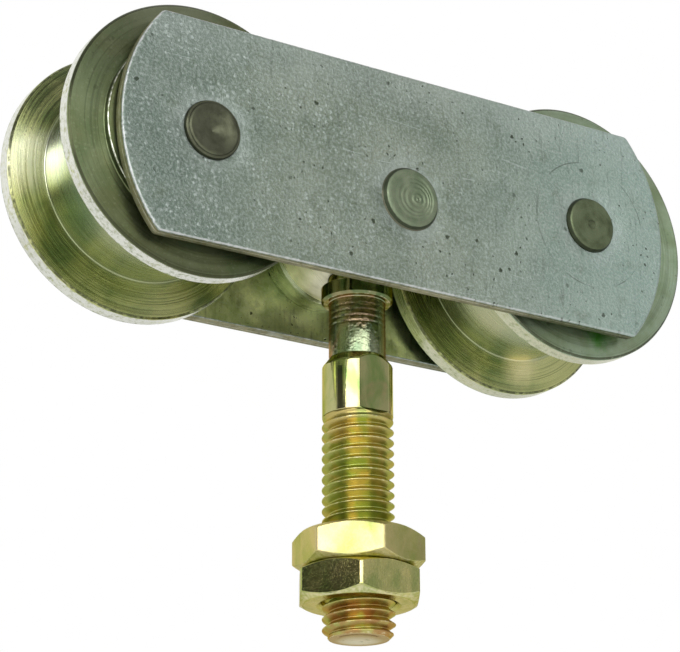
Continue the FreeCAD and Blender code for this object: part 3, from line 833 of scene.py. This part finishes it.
def wheelCorners(shape):
    rim, face, chamfer = shape["rim"], shape["face"], shape["chamfer"]
    # the boss's top edge is painted bright, a painted highlight, and its wall and foot dark, painted shade
    # from the gap to the plate; the rim's chamfers are darkened
    half = [
        (shape["boss"], shape["bossFace"], 0.15, 0.55, -0.7),
        (shape["boss"], face, 0.12, -0.4, 0),
        (rim - chamfer, face, 0.1, -0.8, -0.75),
        (rim, face - chamfer, 0.1, 0.3, 0.66),
        (rim, shape["rimInside"] + chamfer, 0.1, 0.5, -0.6),
        (rim - chamfer, shape["rimInside"], 0.1, -0.7, 0),
        (shape["floor"], shape["floorEdge"], 0.18, 0.12, 0),
    ]
    front = [(c[0], -c[1], *c[2:]) for c in half]
    rear = [(*half[i][:4], half[i - 1][4] if i else 0) for i in range(len(half) - 1, -1, -1)]
    start = (shape["pocket"], shape["seamDepth"] - shape["bossFace"], 0, 0, 0)
    mouth = (shape["pocket"], -shape["bossFace"], 0.2, 0.5, 0)
    inner = [
        (shape["shoulder"], shape["bossFace"], 0.2, 0.5, 0),
        (shape["shoulder"], shape["shoulderAt"], 0.1, 0, 0),
        (shape["pocket"], shape["shoulderAt"], 0.1, 0, 0),
        start,
    ]
    return [start, mouth] + front + rear + inner


for side, centre in wheelCentres.items():
    outline = roundCorners(wheelCorners(wheelShape))
    mesh = turn(side + "Wheel", outline, wheelZinc[side], wheelShape["segments"], centre)
    addPiece(side + "WheelTurned", mesh, side + "_wheel", "wheel_zinc", side + "_wheel")
print("wheels turned")

# side plates: a blanked outline with a rolled outer edge, a sheared band and a slightly torn inner edge,
# as (inset, depth, wear and painted highlight) round the edge, and (beyond the hole, depth) in the dimples
plateShape = {"halfHeight": 15.8, "cornerX": 38.8, "tipX": plateReach, "thickness": 2.0, "cornerRound": 0.5,
              "cornerAngle": 165, "cornerSteps": 4, "endSteps": 24, "edgeSteps": 26, "sharp": 40,
              "holes": ((-axleX, axleZ, 3.25), (0, crossZ, 3.55), (axleX, axleZ, 3.25)), "holeSteps": 64,
              "edge": ((0.44, 0.0, 0.0), (0.36, 0.0, 0.1), (0.22, 0.03, 0.5), (0.10, 0.10, 0.7),
                       (0.03, 0.21, 0.55), (0.0, 0.36, 0.1), (0.0, 0.46, 0.0), (0.0, 0.76, 0.0),
                       (0.02, 0.86, 0.62), (0.02, 0.98, 0.62), (0.0, 1.08, 0.0), (0.0, 1.34, 0.0),
                       (0.02, 1.42, 0.2), (0.06, 1.86, 0.1), (0.10, 1.94, 0.5), (0.20, 2.0, 0.5),
                       (0.28, 2.0, 0.0)), "cutFrom": 5, "cutTo": 13,
              "dimple": ((4.6, 0.0), (3.7, 0.012), (2.9, 0.05), (2.2, 0.11), (1.6, 0.17), (1.1, 0.21),
                         (0.5, 0.235), (0.0, 0.24))}


def plateOutline(shape):
    high, corner, tip = shape["halfHeight"], shape["cornerX"], shape["tipX"]
    steps, count = shape["endSteps"], shape["edgeSteps"]
    rise = tip - corner
    radius = (high * high + rise * rise) / (2 * rise)
    spread = math.asin(high / radius)
    angles = [spread * n / steps for n in range(-steps, steps + 1)]
    right = [(tip - radius + radius * math.cos(a), radius * math.sin(a)) for a in angles]
    top = [(corner - 2 * corner * n / count, high) for n in range(1, count)]
    return softenCorners(right + top + [(-x, -z) for x, z in right] + [(-x, -z) for x, z in top], shape)


# replaces each sharp corner of a closed outline by a few points on a small curve
def softenCorners(ring, shape):
    steps, out = shape["cornerSteps"], []
    for i, point in enumerate(ring):
        here, last, after = Vector(point), Vector(ring[i - 1]), Vector(ring[(i + 1) % len(ring)])
        before, beyond = (last - here).normalized(), (after - here).normalized()
        if before.angle(beyond) > math.radians(shape["cornerAngle"]):
            out.append(here)
            continue
        start, end = here + before * shape["cornerRound"], here + beyond * shape["cornerRound"]
        shares = [n / steps for n in range(steps + 1)]
        out += [start.lerp(here, share).lerp(here.lerp(end, share), share) for share in shares]
    return out


def insetLoop(loop, depth):
    out = []
    for i, here in enumerate(loop):
        along = (loop[(i + 1) % len(loop)] - loop[i - 1]).normalized()
        out.append(here + Vector((-along.y, along.x)) * depth)
    return out


def makePlate(name, shape, sign):
    outline = plateOutline(shape)
    work = bmesh.new()
    wearAndPaintedLight = work.verts.layers.float.new("wearAndPaintedLight")

    def addLoop(flat, depth, value, lift=axleZ):
        made = []
        for point in flat:
            vert = work.verts.new((point.x * mm, sign * (plateFace - depth) * mm, (point.y + lift) * mm))
            vert[wearAndPaintedLight] = value
            made.append(vert)
        return made

    def addCircle(hole, beyond, depth):
        x, z, radius = hole
        reach, steps = radius + beyond, shape["holeSteps"]
        spokes = [math.tau * n / steps for n in range(steps)]
        flat = [Vector((x + reach * math.cos(a), z + reach * math.sin(a))) for a in spokes]
        return addLoop(flat, depth, 0.0, 0.0)

    def bridge(first, second, finish):
        for i in range(len(first)):
            j = (i + 1) % len(first)
            work.faces.new((first[i], first[j], second[j], second[i])).material_index = finish

    def fill(border, holes, finish):
        everyVert = border + [v for hole in holes for v in hole]
        flat = [[Vector((v.co.x, v.co.z, 0)) for v in part] for part in [border] + holes]
        for a, b, c in tessellate_polygon(flat):
            work.faces.new((everyVert[a], everyVert[b], everyVert[c])).material_index = finish

    loops = [addLoop(insetLoop(outline, inset), depth, value) for inset, depth, value in shape["edge"]]
    for band, (first, second) in enumerate(zip(loops, loops[1:])):
        bridge(first, second, 1 if shape["cutFrom"] <= band <= shape["cutTo"] else 0)
    dimples = [[addCircle(hole, *step) for step in shape["dimple"]] for hole in shape["holes"]]
    inside = [addCircle(hole, 0.0, shape["thickness"]) for hole in shape["holes"]]
    fill(loops[0], [dimple[0] for dimple in dimples], 0)
    fill(loops[-1], inside, 2)
    for dimple, inner in zip(dimples, inside):
        for first, second in zip(dimple, dimple[1:] + [inner]):
            bridge(first, second, 0)
    bmesh.ops.recalc_face_normals(work, faces=work.faces)
    smoothBelow(work, shape["sharp"])
    mesh = closeMesh(work, bpy.data.meshes.new(name))
    for finish in plateZincs:
        mesh.materials.append(finish)
    return mesh


ends = {"front": -1, "rear": 1}
for end, sign in ends.items():
    mesh = makePlate(end + "Plate", plateShape, sign)
    addPiece(end + "PlateBlanked", mesh, "carriage", "plate_zinc", end + "_side_plate")
print("plates blanked")

# spun rivet heads, as (radius, height above the plate, wear and painted light) from the middle outwards:
# below zero at the middle it marks the heads' own dark spots, and on the left head's step and on the walls it
# is painted shade where the heads meet the plate
headShapes = {
    "left": ((0, -0.30, -0.4), (0.12, -0.28, -0.3), (0.3, -0.20, -0.2), (0.5, -0.12, 0), (1.0, 0.04, 0),
             (1.8, 0.24, 0), (2.6, 0.44, 0), (3.1, 0.55, 0), (3.4, 0.59, 0), (3.58, 0.57, 0.1),
             (3.68, 0.44, -0.7), (3.74, 0.34, -0.9), (3.86, 0.36, 0.2), (4.0, 0.33, 0), (4.1, 0.20, -0.8),
             (4.17, 0.0, -1), (4.2, -0.24, -1)),
    "right": ((0, 0.36, -0.6), (0.3, 0.42, -0.5), (0.6, 0.37, -0.6), (0.9, 0.45, -0.3), (1.3, 0.48, 0),
              (2.4, 0.53, 0), (3.2, 0.55, 0), (3.6, 0.54, 0.1), (3.75, 0.51, 0.15), (3.85, 0.43, -0.3),
              (3.92, 0.30, -1), (4.08, 0.0, -1), (4.2, -0.24, -1)),
}
spiralHead = {"reach": 3.5, "pitch": 0.70, "ripple": 0.05, "fade": 0.75, "rippleWear": 5, "height": 0.38,
              "dome": -0.19, "steps": 84, "aside": 0.9, "sway": 0.9, "swayPitch": 2.3,
              # wear below zero down the rim's wall is painted shade where the head meets the plate
              "rim": ((3.7, 0.57, 0.1), (3.95, 0.55, 0.1), (4.12, 0.50, 0.1), (4.22, 0.40, -0.6),
                      (4.30, 0.25, -1), (4.50, -0.02, -1), (4.65, -0.24, -1))}
pinShape = {"neck": 3.2, "body": 4.0, "segments": 128}


def rippledHead(shape):
    points = []
    for n in range(shape["steps"] + 1):
        radius = shape["reach"] * n / shape["steps"]
        fade = 1 - shape["fade"] * radius / shape["reach"]
        sway = shape["sway"] * math.sin(math.tau * radius / shape["swayPitch"])
        ripple = shape["ripple"] * fade * math.cos(math.tau * radius / shape["pitch"] + sway)
        sink = shape["dome"] * (radius / shape["reach"]) ** 2
        points.append((radius, shape["height"] + ripple - sink, ripple * shape["rippleWear"]))
    return points + list(shape["rim"])


def pinOutline(front, rear, neck, body):
    face, inside = plateFace, plateFace - plateShape["thickness"]
    points = [(r, -face - h, w) for r, h, w in front]
    points += [(neck, -face - front[-1][1], 0), (neck, -inside, 0), (body, -inside, 0)]
    points += [(body, inside, 0), (neck, inside, 0), (neck, face + rear[-1][1], 0)]
    return points + [(r, face + h, w) for r, h, w in reversed(rear)]


for side, centre in wheelCentres.items():
    outline = pinOutline(headShapes[side], headShapes["right"], pinShape["neck"], pinShape["body"])
    mesh = turn(side + "AxlePin", outline, rivetSteel[side], pinShape["segments"], centre)
    addPiece(side + "AxlePinSpun", mesh, "carriage", "rivet_steel", side + "_axle_pin")

# cross bar: spun heads, a barrel with chamfers, then the bolt's bore and the washer's pocket cut through it
barrelShape = {"radius": 8.4, "half": 8.25, "chamfer": 0.45, "journal": 5.0, "neck": 3.5, "bore": 4.1,
               "boreFloor": 5.0, "pocket": 6.6, "pocketFloor": 21.93, "cutTop": 30.0, "segments": 160,
               "cutSegments": 96, "weld": 5e-6, "sliver": 2e-6, "sharp": 38}


def barrelOutline(shape):
    head = rippledHead(spiralHead)
    radius, half, chamfer = shape["radius"], shape["half"], shape["chamfer"]
    outline = pinOutline(head, head, shape["neck"], shape["journal"])
    middle = len(outline) // 2
    corners = [(shape["journal"], -half, 0, 0, 0), (radius - chamfer, -half, 0.08, 0.6, 0.2),
               (radius, -half + chamfer, 0.08, 0.6, 0), (radius, half - chamfer, 0.08, 0.6, 0.2),
               (radius - chamfer, half, 0.08, 0.6, 0), (shape["journal"], half, 0, 0, 0)]
    return outline[:middle] + roundCorners(corners) + outline[middle:]


def cutRound(piece, shape, name):
    low, high, radius = shape[name + "Floor"], shape["cutTop"], shape[name]
    points = [(0, low, 0), (radius, low, 0), (radius, high, 0), (0, high, 0)]
    cutter = addObject(name + "Cutter", turn(name, points, crossZinc, shape["cutSegments"], lying=False))
    modifier = piece.modifiers.new(name, "BOOLEAN")
    modifier.operation = "DIFFERENCE"
    modifier.solver = "EXACT"
    modifier.object = cutter
    return cutter


# the tool that spun the heads stood a little off their middle
def shiftSpiral(mesh, look):
    for vert in mesh.vertices:
        share = math.hypot(vert.co.x, vert.co.z - crossZ * mm) / (look["reach"] * mm)
        if share < 1 and abs(vert.co.y) > plateFace * mm:
            vert.co.x += look["aside"] * mm * (1 - share * share)


def makeCrossBar(shape):
    mesh = turn("crossBar", barrelOutline(shape), crossZinc, shape["segments"], crossCentre)
    shiftSpiral(mesh, spiralHead)
    raw = addObject("crossBarRaw", mesh)
    cutters = [cutRound(raw, shape, name) for name in ("bore", "pocket")]
    cut = shapedMesh(raw)
    for scrap in [raw] + cutters:
        bpy.data.objects.remove(scrap)
    cut.materials.clear()
    cut.materials.append(crossZinc)
    cut.materials.append(crossHeadSteel)
    work = openMesh(cut)
    bmesh.ops.remove_doubles(work, verts=work.verts, dist=shape["weld"])
    bmesh.ops.dissolve_degenerate(work, edges=work.edges, dist=shape["sliver"])
    bmesh.ops.triangulate(work, faces=[face for face in work.faces if len(face.verts) > 4])
    for face in work.faces:
        face.material_index = 1 if abs(face.calc_center_median().y) > plateFace * mm else 0
    smoothBelow(work, shape["sharp"])
    cut.name = "crossBarBored"
    return closeMesh(work, cut)


# spacers and washer, as corners of a ring that starts and ends in the middle of its bore
spacerShape = {"bore": 5.05, "radius": 8.4, "chamfer": 0.45, "inside": 8.25, "outside": 12.0, "seam": 10.0,
               "segments": 160}
washerShape = {"bore": 4.1, "radius": 6.3, "low": 21.93, "high": 23.43, "seam": 22.6, "segments": 128}


def spacerCorners(shape, sign):
    bore, radius, inside, outside = shape["bore"], shape["radius"], shape["inside"], shape["outside"]
    seam = (bore, shape["seam"], 0, 0, 0)
    corners = [seam, (bore, inside, 0.05, 0, 0), (radius - shape["chamfer"], inside, 0.08, 0.4, 0.3),
               (radius, inside + shape["chamfer"], 0.08, 0.4, 0), (radius, outside, 0.1, 0.3, 0),
               (bore, outside, 0.05, 0, 0), seam]
    return [(r, sign * y, *rest) for r, y, *rest in corners]


def washerCorners(shape):
    bore, radius, low, high = shape["bore"], shape["radius"], shape["low"], shape["high"]
    seam = (bore, shape["seam"], 0, 0, 0)
    return [seam, (bore, low, 0.1, 0.3, 0), (radius, low, 0.15, 0.5, 0), (radius, high, 0.15, 0.5, 0),
            (bore, high, 0.1, 0.3, 0), seam]


addPiece("crossBarBored", makeCrossBar(barrelShape), "carriage", "cross_bar_zinc", "cross_bar")
for end, sign in ends.items():
    outline = roundCorners(spacerCorners(spacerShape, sign))
    mesh = turn(end + "Spacer", outline, spacerZinc, spacerShape["segments"], crossCentre)
    addPiece(end + "SpacerTurned", mesh, "carriage", "spacer_zinc", end + "_cross_bar_spacer")
outline = roundCorners(washerCorners(washerShape))
mesh = turn("washer", outline, boltZinc, washerShape["segments"], lying=False)
addPiece("washerPressed", mesh, "carriage", "bolt_zinc", "pendant_washer")
print("rivets, cross bar, spacers and washer made")

# pendant bolt: turned head, collar, ringed neck and flatted shank, with a rolled thread below
boltShape = {"head": 5.7, "headTop": 25.65, "headSeat": 23.45, "crown": 0.8, "spigot": 4.0, "collar": 5.05,
             "collarTop": 7.68, "collarChamfer": 0.35, "neck": 4.0, "neckTop": 5.38, "shoulderTop": -2.92,
             "shank": 4.95, "shankTop": -4.17, "threadTop": -11.47, "end": -42.57,
             "rings": (4.2, 3.36, 2.45, 1.62), "ringDepth": 0.05, "ringHalf": 0.28,
             "flat": 4.3, "flatBottom": -10.9, "flatEnd": 1.02, "flatSlack": 0.001, "row": 0.12,
             "slack": 0.01, "axis": 1, "endWear": 0.78, "segments": 180}
threadShape = {"crest": 5.0, "depth": 0.9, "pitch": 1.5, "crestFlat": 0.07, "rootFlat": 0.07, "tip": 4.1,
               "crestWearAndLight": 0.45, "crestDrop": 0.06, "soften": (-0.04, -0.02, 0, 0.02, 0.04), "sink": 0.02,
               "spare": 0.5, "fade": 1.9, "capSlope": 30.0, "segments": 108, "cupDepth": 0.6,
               "cup": ((0.88, 0.0), (0.82, 0.015), (0.76, 0.06), (0.62, 0.24), (0.45, 0.41), (0.26, 0.52),
                       (0.1, 0.56)),
               "phases": (-0.75, -0.71, -0.66, -0.60, -0.45, -0.30, -0.16, -0.10, -0.06, -0.03, 0.0,
                          0.03, 0.06, 0.10, 0.16, 0.30, 0.45, 0.60, 0.66, 0.71)}


def boltOutline(shape):
    head, neck, collar, shank = shape["head"], shape["neck"], shape["collar"], shape["shank"]
    top, crown, chamfer = shape["headTop"], shape["crown"], shape["collarChamfer"]
    corners = [
        (0, top, 0, 0, 0),
        (head - crown, top, 0.5, 0.3, 0.1),
        (head, top - crown, 0.3, 0.6, 0),
        (head, shape["headSeat"], 0.1, 0.4, 0),
        (shape["spigot"], shape["headSeat"], 0.1, 0, 0),
        (shape["spigot"], shape["collarTop"], 0.1, 0, 0),
        (collar, shape["collarTop"], 0.08, 0.6, 0),
        # the collar's chamfer and its underside are painted bright: a painted highlight
        (collar, shape["neckTop"] + chamfer, 0.06, 0.2, 0.35),
        (collar - chamfer, shape["neckTop"], 0.06, 0.5, 0.45),
        (neck, shape["neckTop"], 0.15, 0, 0),
    ]
    for ring in shape["rings"]:
        corners += [(neck, ring + shape["ringHalf"], 0.3, 0.1, 0),
                    (neck - shape["ringDepth"], ring, 0.2, 0, 0),
                    (neck, ring - shape["ringHalf"], 0.3, 0.1, 0)]
    corners += [
        (neck, shape["shoulderTop"], 0.25, 0, 0.2),
        (shank, shape["shankTop"], 0.5, 0.3, 0),
        (shank, shape["threadTop"], 0.15, 0.3, 0),
        (0, shape["threadTop"], 0, 0, 0),
    ]
    return divideRows(roundCorners(corners), shape)


# extra rows where the spanner flats are cut
def divideRows(points, shape):
    high, low = shape["shoulderTop"] + shape["slack"], shape["threadTop"] - shape["slack"]
    out = [points[0]]
    for last, point in zip(points, points[1:]):
        inside = max(last[1], point[1]) <= high and min(last[1], point[1]) >= low and point[0] > shape["axis"]
        count = max(1, round(math.dist(last[:2], point[:2]) / shape["row"])) if inside else 1
        out += [tuple(a + (b - a) * n / count for a, b in zip(last, point)) for n in range(1, count + 1)]
    return out


def threadOutline(shape, low, high):
    points = []
    pitch, soften = shape["pitch"], shape["soften"]
    turnNumber = math.floor(low / pitch) - 2
    while turnNumber * pitch < high + pitch:
        for phase in shape["phases"]:
            drop = sum(flankDrop(shape, abs(phase + shift)) for shift in soften) / len(soften)
            # crest lines are painted bright: worn crests in part, a painted highlight in part
            wornAndPaintedLight = shape["crestWearAndLight"] if drop < shape["crestDrop"] else 0.0
            points.append((drop, turnNumber * pitch + phase, wornAndPaintedLight))
        turnNumber += 1
    return points


def flankDrop(shape, phase):
    phase = min(phase, shape["pitch"] - phase)
    flank = shape["pitch"] / 2 - shape["crestFlat"] - shape["rootFlat"]
    return shape["depth"] * min(max((phase - shape["crestFlat"]) / flank, 0.0), 1.0)


# the flats stop short of the thread on a rounded run-out
def cutFlats(mesh, shape):
    lowest = shape["flatBottom"] - shape["flatEnd"]
    for vert in mesh.vertices:
        z = vert.co.z / mm
        if lowest < z <= shape["shoulderTop"] + shape["flatSlack"]:
            below = max(shape["flatBottom"] - z, 0)
            limit = shape["flat"] + shape["flatEnd"] - math.sqrt(shape["flatEnd"] ** 2 - below ** 2)
            vert.co.y = min(max(vert.co.y, -limit * mm), limit * mm)


# the thread is rolled a little long, then cut square and cupped, as rolling leaves an end
def cutEnd(mesh, end, cup, bare):
    work = openMesh(mesh)
    wearAndPaintedLight = work.verts.layers.float["wearAndPaintedLight"]
    whole = work.verts[:] + work.edges[:] + work.faces[:]
    bmesh.ops.bisect_plane(work, geom=whole, dist=sliver, plane_co=(0, 0, end), plane_no=(0, 0, 1),
                           clear_inner=True)
    rim = [edge for edge in work.edges if edge.is_boundary]
    corners = {vert for edge in rim for vert in edge.verts}
    ring = sorted(corners, key=lambda vert: math.atan2(vert.co.y, vert.co.x))
    places = [vert.co.copy() for vert in ring]
    for vert in ring:
        vert[wearAndPaintedLight] = bare
    for share, depth in cup:
        inner = [work.verts.new((place.x * share, place.y * share, end + depth * mm)) for place in places]
        for i, vert in enumerate(inner):
            vert[wearAndPaintedLight] = bare
            work.faces.new((ring[i - 1], ring[i], vert, inner[i - 1]))
        ring = inner
    work.faces.new(ring)
    bmesh.ops.recalc_face_normals(work, faces=work.faces)
    smoothFaces(work)
    for edge in rim:
        edge.smooth = False
    closeMesh(work, mesh)


def makeThread(shape, thread):
    lengths = {"Pitch": thread["pitch"], "Low": shape["end"] - thread["spare"], "High": shape["threadTop"],
               "Crest Radius": thread["crest"], "Top Radius": shape["shank"] - thread["sink"],
               "Tip Radius": thread["tip"] - thread["spare"], "Fade Length": thread["fade"]}
    values = {"Segments": thread["segments"], "Cap Slope": thread["capSlope"], "Material": boltZinc,
              **{name: length * mm for name, length in lengths.items()}}
    points = threadOutline(thread, shape["end"], shape["threadTop"])
    rolled = runTree("boltThread", threadTree, points, values)
    cutEnd(rolled, shape["end"] * mm, thread["cup"], shape["endWear"])
    return rolled


def makeBolt(shape, thread):
    shank = turn("boltShank", boltOutline(shape), boltZinc, shape["segments"], lying=False)
    rolled = makeThread(shape, thread)
    for mesh in (shank, rolled):
        cutFlats(mesh, shape)
    joined = closeMesh(openMesh(shank, rolled), bpy.data.meshes.new("pendantBolt"))
    # the collar's darker zinc is painted shade under the front plate; the cupped end reuses it
    stretches = ((shape["collarTop"], boltZinc), (shape["neckTop"] - shape["slack"], shadedCollarZinc),
                 (shape["shoulderTop"], neckZinc), (shape["threadTop"], boltZinc), (shape["end"], threadZinc),
                 (-math.inf, shadedCollarZinc))
    for low, finish in stretches:
        joined.materials.append(finish)
    cupTop, cupReach = (shape["end"] + thread["cupDepth"]) * mm, thread["tip"] * mm
    for face in joined.polygons:
        face.material_index = next(i for i, (low, finish) in enumerate(stretches) if face.center.z > low * mm)
        if face.center.z < cupTop and face.center.xy.length < cupReach:
            face.material_index = len(stretches) - 1
    return joined


addPiece("pendantBoltThreaded", makeBolt(boltShape, threadShape), "pendant", "bolt_zinc", "pendant_bolt")
print("pendant bolt made")

# thin nuts, each with its lower face and its turn: chamfered, so that each flat ends in a curved edge
nutShape = {"flats": 8.0, "face": 7.6, "bore": 5.06, "mouth": 5.66, "mouthDrop": 0.346, "height": 5.0,
            "cornerLimit": 9.14, "slope": math.tan(math.radians(30)), "bevel": 0.07, "segments": 540,
            "chamferRows": (0.15, 0.3, 0.5, 0.7, 0.85),
            "nuts": {"upper": (-32.95, -70.2), "lower": (-37.97, -30.0)}}


# each row: radius, height, wear, its reach onto the flats, its fall towards the corners
def nutOutline(shape, low):
    flats, face, slope, bevel = shape["flats"], shape["face"], shape["slope"], shape["bevel"]
    edge = (flats - face) * slope
    lowerHalf = [
        (shape["bore"], shape["mouthDrop"] + 0.05, 0, 0, 0),
        (shape["bore"] + 0.03, shape["mouthDrop"] - 0.02, 0.3, 0, 0),
        (shape["mouth"] - 0.06, 0.04, 0.2, 0, 0),
        (shape["mouth"] + 0.05, 0, 0.3, 0, 0),
        (shape["mouth"] + 0.15, 0, 0.6, 0, 0),
        (face - 0.15, 0, 0.6, 0, 0),
        (face - 0.05, 0, 0.3, 0, 0),
    ]
    for share in shape["chamferRows"]:
        lowerHalf.append((face + share * (flats - face), share * edge, 0.55, share, share * slope))
    lowerHalf += [
        (flats - bevel, edge - bevel * slope, 0.3, 1, slope),
        (flats - bevel * 0.25, edge + bevel * 0.15, 0.5, 1, slope),
        (flats, edge + bevel, 0.3, 1, slope),
        (flats, edge + bevel * 2.2, 0, 1, slope),
        (flats, edge + bevel * 5, 0, 1, slope * 0.9),
        (flats, shape["height"] * 0.4, 0, 1, slope * 0.15),
    ]
    upperHalf = [(r, shape["height"] - z, wearAndPaintedLight, reach, -fall) for r, z, wearAndPaintedLight, reach, fall in lowerHalf[::-1]]
    ring = lowerHalf + upperHalf + lowerHalf[:1]
    return [(r, low + z, *rest) for r, z, *rest in ring]


for level, (low, turned) in nutShape["nuts"].items():
    hexagon = {"Half Across Flats": nutShape["flats"] * mm, "Corner Limit": nutShape["cornerLimit"] * mm,
               "Turn": math.radians(turned)}
    outline = nutOutline(nutShape, low)
    mesh = turn(level + "Nut", outline, nutZinc[level], nutShape["segments"], lying=False, hexagon=hexagon)
    addPiece(level + "NutChamfered", mesh, level + "_nut", "nut_zinc", level + "_nut")
print("nuts made")


# pieces that stay as the frame has them, with their own finish
def finishNode(node, finish):
    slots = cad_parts[node].data.materials
    slots.clear()
    slots.append(finish)


for side in wheelCentres:
    for ring in ("outer_ring", "inner_ring", "balls"):
        finishNode(f"{side}_bearing_{ring}", bearingSteel[side])
    for plain in ("cage", "front_shield", "rear_shield"):
        finishNode(f"{side}_bearing_{plain}", cageSteel[side])
    for end in ends:
        finishNode(f"{side}_{end}_axle_spacer", cageSteel[side])
print("bearings finished")

# studio: white backdrop behind, a dimmer room in front, a large soft light from the front left and a fill
studio = {"roomShades": (0.08, 0.72), "roomSpan": (0.10, 0.80), "sideFall": 0.42, "sideSpan": (0.75, 0.98),
          "backdropSpan": (0.14, 0.28), "topLight": 0.7, "topSpan": (0.55, 0.95),
          "lamps": {"keySoftbox": {"turn": 51.0, "size": (1.5, 1.15), "power": 24.4},
                    "fillSoftbox": {"turn": 9.0, "size": (1.65, 1.1), "power": 17.1}},
          "lampRise": 17.0, "lampDistance": 2.2, "floorHeight": -0.46, "floorHalf": 4.3,
          "floorTone": (0.72, 0.72, 0.72, 1), "floorRough": 0.9, "floorGlow": 0.28, "fadeFrom": 0.5,
          "fadeGlow": 0.6}


def makeWorld(look):
    world = bpy.data.worlds.new("studioWorld")
    world.use_nodes = True
    bpy.context.scene.world = world
    tree = world.node_tree
    parts = splitVector(tree, addNode(tree, "ShaderNodeTexCoord").outputs["Generated"])
    backdrop = ramp(tree, parts["Y"], *look["backdropSpan"])
    room = ramp(tree, parts["X"], *look["roomSpan"], *look["roomShades"])
    room = minus(tree, room, ramp(tree, parts["X"], *look["sideSpan"], 0.0, look["sideFall"]))
    path = addNode(tree, "ShaderNodeLightPath").outputs
    mirrored = plus(tree, path["Is Glossy Ray"], path["Is Transmission Ray"], clamp=True)
    shown = plus(tree, path["Is Camera Ray"], times(tree, mirrored, backdrop), clamp=True)
    overhead = ramp(tree, parts["Z"], *look["topSpan"], 0.0, look["topLight"])
    lit = larger(tree, larger(tree, room, overhead), backdrop)
    shade = tree.nodes["Background"]
    shade.inputs["Color"].default_value = (1, 1, 1, 1)
    tree.links.new(larger(tree, shown, lit), shade.inputs["Strength"])


def makeFloor(look):
    half = look["floorHalf"]
    corners = [(x * half, y * half, look["floorHeight"]) for x, y in ((-1, -1), (1, -1), (1, 1), (-1, 1))]
    mesh = bpy.data.meshes.new("floor")
    mesh.from_pydata(corners, [], [(0, 1, 2, 3)])
    made, tree, shader = startMaterial("paleFloor", Base_Color=look["floorTone"],
                                       Roughness=look["floorRough"], Emission_Color=(1, 1, 1, 1))
    path = addNode(tree, "ShaderNodeLightPath").outputs
    mirrored = plus(tree, path["Is Glossy Ray"], path["Is Transmission Ray"])
    seen = plus(tree, path["Is Camera Ray"], mirrored, clamp=True)
    away = vectorCalc(tree, "LENGTH", objectPlace(tree))
    fade = times(tree, path["Is Camera Ray"], ramp(tree, away, look["fadeFrom"], half, 0.0, look["fadeGlow"]))
    tree.links.new(timesPlus(tree, seen, look["floorGlow"], fade), shader.inputs["Emission Strength"])
    mesh.materials.append(made)
    floor = addObject("floor", mesh)


def addLamp(name, look, riseDegrees, distance):
    lamp = bpy.data.lights.new(name, "AREA")
    lamp.shape = "RECTANGLE"
    lamp.size, lamp.size_y = look["size"]
    lamp.energy = look["power"]
    aside, rise = math.radians(look["turn"]), math.radians(riseDegrees)
    way = Vector((-math.sin(aside) * math.cos(rise), -math.cos(aside) * math.cos(rise), math.sin(rise)))
    holder = addObject(name, lamp)
    holder.location = way * distance
    holder.rotation_mode = "QUATERNION"
    holder.rotation_quaternion = (-way).to_track_quat("-Z", "Y")


makeWorld(studio)
makeFloor(studio)
for name, look in studio["lamps"].items():
    addLamp(name, look, studio["lampRise"], studio["lampDistance"])
print("studio lit")

cameraLook = {"place": (-0.165785, -0.260259, -0.110020), "turn": (109.98705, 0.186535, -31.982226),
              "lens": 123.5642, "sensor": 36, "nearest": 0.01, "farthest": 50}
camera = addObject("camera", bpy.data.cameras.new("camera"))
camera.location = cameraLook["place"]
camera.rotation_euler = [math.radians(a) for a in cameraLook["turn"]]
camera.data.lens = cameraLook["lens"]
camera.data.sensor_width = cameraLook["sensor"]
camera.data.clip_start = cameraLook["nearest"]
camera.data.clip_end = cameraLook["farthest"]
bpy.context.scene.camera = camera
bpy.context.scene.view_settings.view_transform = "Standard"
